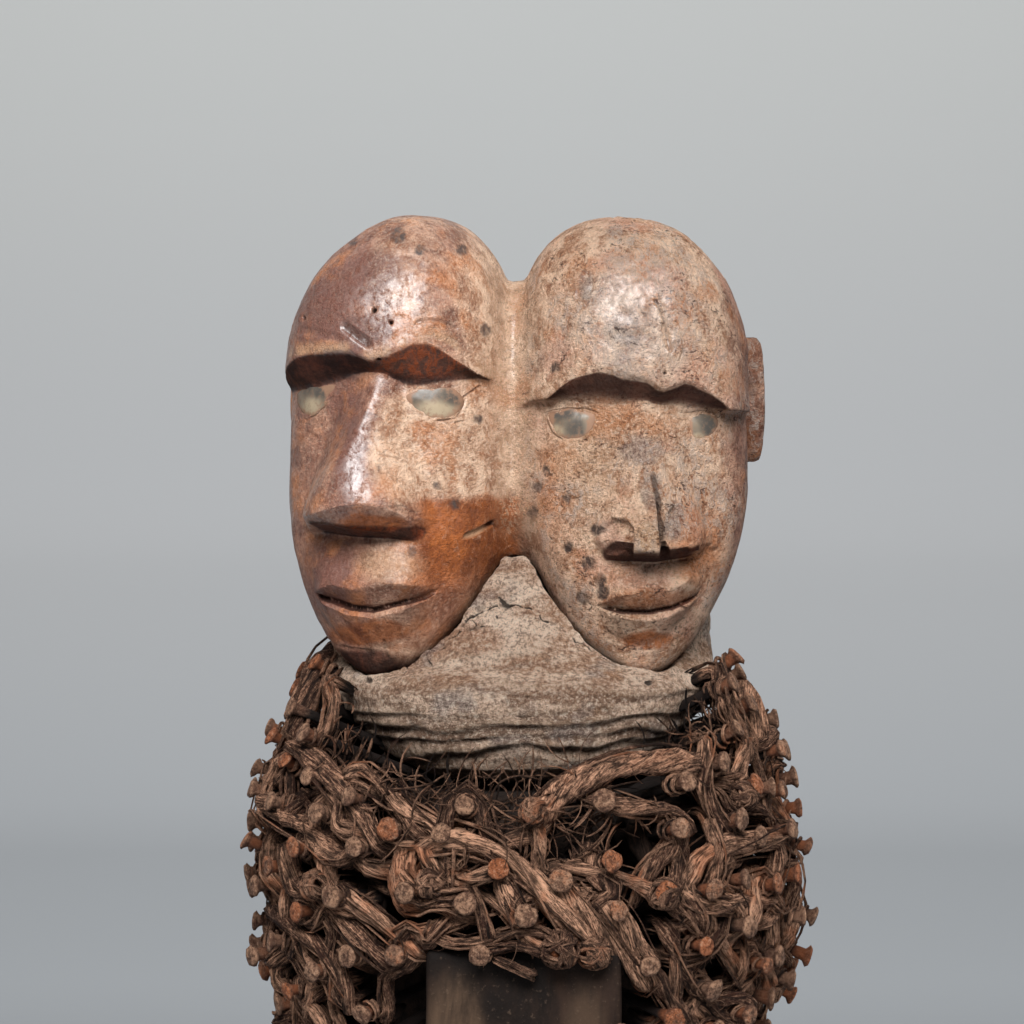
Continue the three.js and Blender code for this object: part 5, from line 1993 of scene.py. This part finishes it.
def block_finish():
    block = Finish("dark box wood")
    place = block.place()
    grain = block.clouds(block.stretched(place, (1, 1, 0.1)), 300, 5, 0.65, 0.5)
    worn = block.clouds(block.stretched(place, (1, 1, 0.4)), 55, 5, 0.65, 0.4)
    fine = block.clouds(place, 600, 4, 0.7)
    colour = block.coated(
        block.mix(worn.rise(0.42, 0.74), paint(19, 13, 10), paint(46, 33, 26)),
        (block.mark("worn") * worn.rise(0.3, 0.6), 82, 64, 50),
        # Painted shade on the box's top.
        (block.mark("top"), 16, 11, 9),
        (grain.rise(0.5, 0.7) * 0.35, 26, 19, 17),
        (fine.rise(0.58, 0.7) * 0.3, 96, 78, 64),
    )
    normal = block.raised(grain * 0.5 + fine * 0.5, 0.6, 0.0009)
    roughness = 0.75 + (worn - 0.5) * 0.4
    return block.surface(Base_Color=colour, Roughness=roughness, Normal=normal, Specular_IOR_Level=0.12)


def glass_finish():
    glass = Finish("clouded glass")
    place = glass.place()
    cloud = glass.clouds(place, 90, 4, 0.6, 0.8)
    fine = glass.clouds(place, 600, 5, 0.75)
    dirt = (glass.mark("rim") + (fine - 0.5) * 0.7 + (cloud - 0.5) * 0.5).rise(0.66, 0.98)
    colour = glass.coated(
        glass.mix(cloud.rise(0.38, 0.62), paint(84, 76, 67), paint(118, 106, 91)),
        (glass.mark("milky") * (0.6 + cloud * 0.6), 156, 140, 116),
        (glass.mark("dim") * 0.75, 66, 63, 60),
        (fine.rise(0.5, 0.64) * 0.55, 120, 96, 78),
        (dirt * 0.85, 134, 100, 78),
    )
    normal = glass.raised(cloud * 0.5 + fine * 0.2, 0.3, 0.0007)
    roughness = 0.3 + (fine - 0.4) * 0.5 + dirt * 0.3
    return glass.surface(Base_Color=colour, Roughness=roughness, Normal=normal, Specular_IOR_Level=0.35)


def rust_finish():
    rust = Finish("rusted iron")
    place = rust.place()
    own = rust.mark("own")
    behind = rust.mark("behind")
    middle = rust.clouds(place, 260, 5, 0.7)
    fine = rust.clouds(place, 760, 5, 0.8)
    colour = rust.coated(
        rust.mix(middle.rise(0.35, 0.65), paint(112, 78, 60), paint(188, 144, 114)),
        ((own + (middle - 0.5) * 0.8).rise(0.7, 0.95) * 0.75, 182, 100, 54),
        (fine.rise(0.51, 0.58) * 0.75, 60, 38, 29),
        (fine.rise(0.46, 0.4) * 0.5, 214, 172, 142),
        (behind.rise(0.3, 0.7) * 0.55, 84, 54, 41),
        (behind.rise(1.2, 3) * own.rise(0.1, 0.9) * 0.8, 140, 80, 48),
        # Painted shade: the shanks far under the heads are nearly black.
        (behind.rise(3.5, 8) * 0.97, 20, 12, 9),
    )
    normal = rust.raised(middle + fine * 1.8, 1.0, 0.002)
    roughness = 0.75 + (fine - 0.5) * 0.4
    return rust.surface(Base_Color=colour, Roughness=roughness, Normal=normal, Specular_IOR_Level=0.25)


def fibre_finish():
    fibre = Finish("dried fibre")
    own, length = fibre.mark("own"), fibre.mark("along")
    across = (fibre.mark("round_cos") * 3.4 + own * 37, fibre.mark("round_sin") * 3.4)
    joined = fibre.node("ShaderNodeCombineXYZ", {}, dict(enumerate((*across, length * 0.1 + own * 91))))
    threads = fibre.clouds(joined, 1.6, 6, 0.8)
    split = fibre.clouds(joined, 0.9, 4, 0.7) - 0.5
    split = (split * split).rise(0.0012, 0.0)
    place = fibre.place()
    broad = fibre.clouds(place, 60, 3)
    fine = fibre.clouds(place, 700, 5, 0.8)
    light = (threads + (own - 0.5) * 0.2 + (broad - 0.5) * 0.3 + (fine - 0.5) * 0.5).rise(0.36, 0.66)
    colour = fibre.coated(
        fibre.mix(light, paint(64, 39, 29), paint(218, 166, 134)),
        (broad.rise(0.5, 0.62) * own.rise(0.3, 0.9) * 0.7, 166, 94, 56),
        (fine.rise(0.56, 0.68) * 0.35, 196, 162, 134),
        (split * 0.75, 34, 21, 16),
        # Painted shade in the grooves between the strips.
        (fibre.mark("groove").rise(0.4, 0.95) * 0.85, 30, 19, 14),
        # Painted shade: fibre deep under the rim is nearly black.
        (fibre.mark("deep").rise(9.5, 17) * 0.95, 17, 10, 8),
    )
    normal = fibre.raised(threads * 1.3 + fine * 0.6 - split * 0.6, 1.0, 0.0013)
    roughness = 0.85 + (fine - 0.5) * 0.3
    return fibre.surface(Base_Color=colour, Roughness=roughness, Normal=normal, Specular_IOR_Level=0.15)


finished = [
    ([carved_wood], wood_finish()),
    ([pack], earth_finish()),
    ([box_block], block_finish()),
    (eyes, glass_finish()),
    (nail_pieces, rust_finish()),
    (fibre_pieces, fibre_finish()),
]
for pieces, material in finished:
    for piece in pieces:
        piece.data.materials.append(material)
for piece in nail_pieces:
    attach(piece, "root")
for piece in fibre_pieces:
    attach(piece, "root")
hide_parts(*ROW_NODES[:2])
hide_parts(*ROW_NODES[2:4])
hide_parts(*ROW_NODES[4:])
single = [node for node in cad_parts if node.startswith("nail_")]
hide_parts(*[node for node in single if "under" not in node])
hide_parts(*[node for node in single if "under" in node])

# %% [markdown]
# The studio is a pale floor that curves up into a pale wall, painted lighter the higher it rises
# as painted light, one soft light above the camera, and grey light all round.

# %% Floor, wall and lights
# How far behind the figure and how high the floor runs, in metres.
FLOOR_PATH = [
    (-4.0, 0.0), (0.6, 0.0), (1.0, 0.01), (1.4, 0.09), (1.75, 0.32), (1.95, 0.7), (2.0, 1.2),
    (2.0, 4.5),
]


FLOOR_HALF = 5.0
FLOOR_STRIPS = 60


def make_floor():
    path = np.array(FLOOR_PATH)
    stations = np.arange(len(path))
    dense = np.linspace(0, len(path) - 1, FLOOR_STRIPS)
    y = np.interp(dense, stations, path[:, 0])
    z = np.interp(dense, stations, path[:, 1])
    rows = [[(x, b, c) for b, c in zip(y, z)] for x in (-FLOOR_HALF, FLOOR_HALF)]
    points = np.array(rows).reshape(-1, 3) * MM
    count = len(dense)
    faces = np.array([(i, i + 1, count + i + 1, count + i) for i in range(count - 1)])
    floor = make_piece("studio_floor", points, [faces])
    finish = Finish("studio grey")
    height = finish.node("ShaderNodeSeparateXYZ", {}, {0: finish.place()}, 2)
    # Painted light: the floor and wall are painted lighter the higher they rise.
    colour = finish.mix(height.rise(0.0, 0.35), paint(162, 166, 170), paint(182, 184, 186))
    colour = finish.mix(height.rise(0.35, 0.9), colour, paint(196, 198, 197))
    floor.data.materials.append(finish.surface(Base_Color=colour, Roughness=0.9))


def make_light(name, size, strength, elevation, distance, centre):
    """A soft rectangular light that looks at a centre from in front of it and above."""
    data = bpy.data.lights.new(name, "AREA")
    data.shape = "RECTANGLE"
    data.size, data.size_y = size
    data.energy = strength
    light = bpy.data.objects.new(name, data)
    rise = math.radians(elevation)
    light.location = centre + distance * np.array([0, -math.cos(rise), math.sin(rise)])
    light.rotation_euler = (math.radians(90) - rise, 0, 0)
    bpy.context.collection.objects.link(light)


def set_world(colour, strength):
    world = bpy.data.worlds.new("studio")
    world.use_nodes = True
    background = world.node_tree.nodes["Background"]
    background.inputs["Color"].default_value = (*colour, 1)
    background.inputs["Strength"].default_value = strength
    bpy.context.scene.world = world


make_floor()
make_light("key", (1.25, 0.62), 46, 38, 1.4, (0, 0, EYE_LEVEL / MM))
make_light("wall", (3.0, 0.4), 15, 35, 1.7, (0, 2.0, 0.7))
set_world((0.9, 0.9, 0.9), 0.15)
bpy.context.scene.view_settings.view_transform = "Standard"
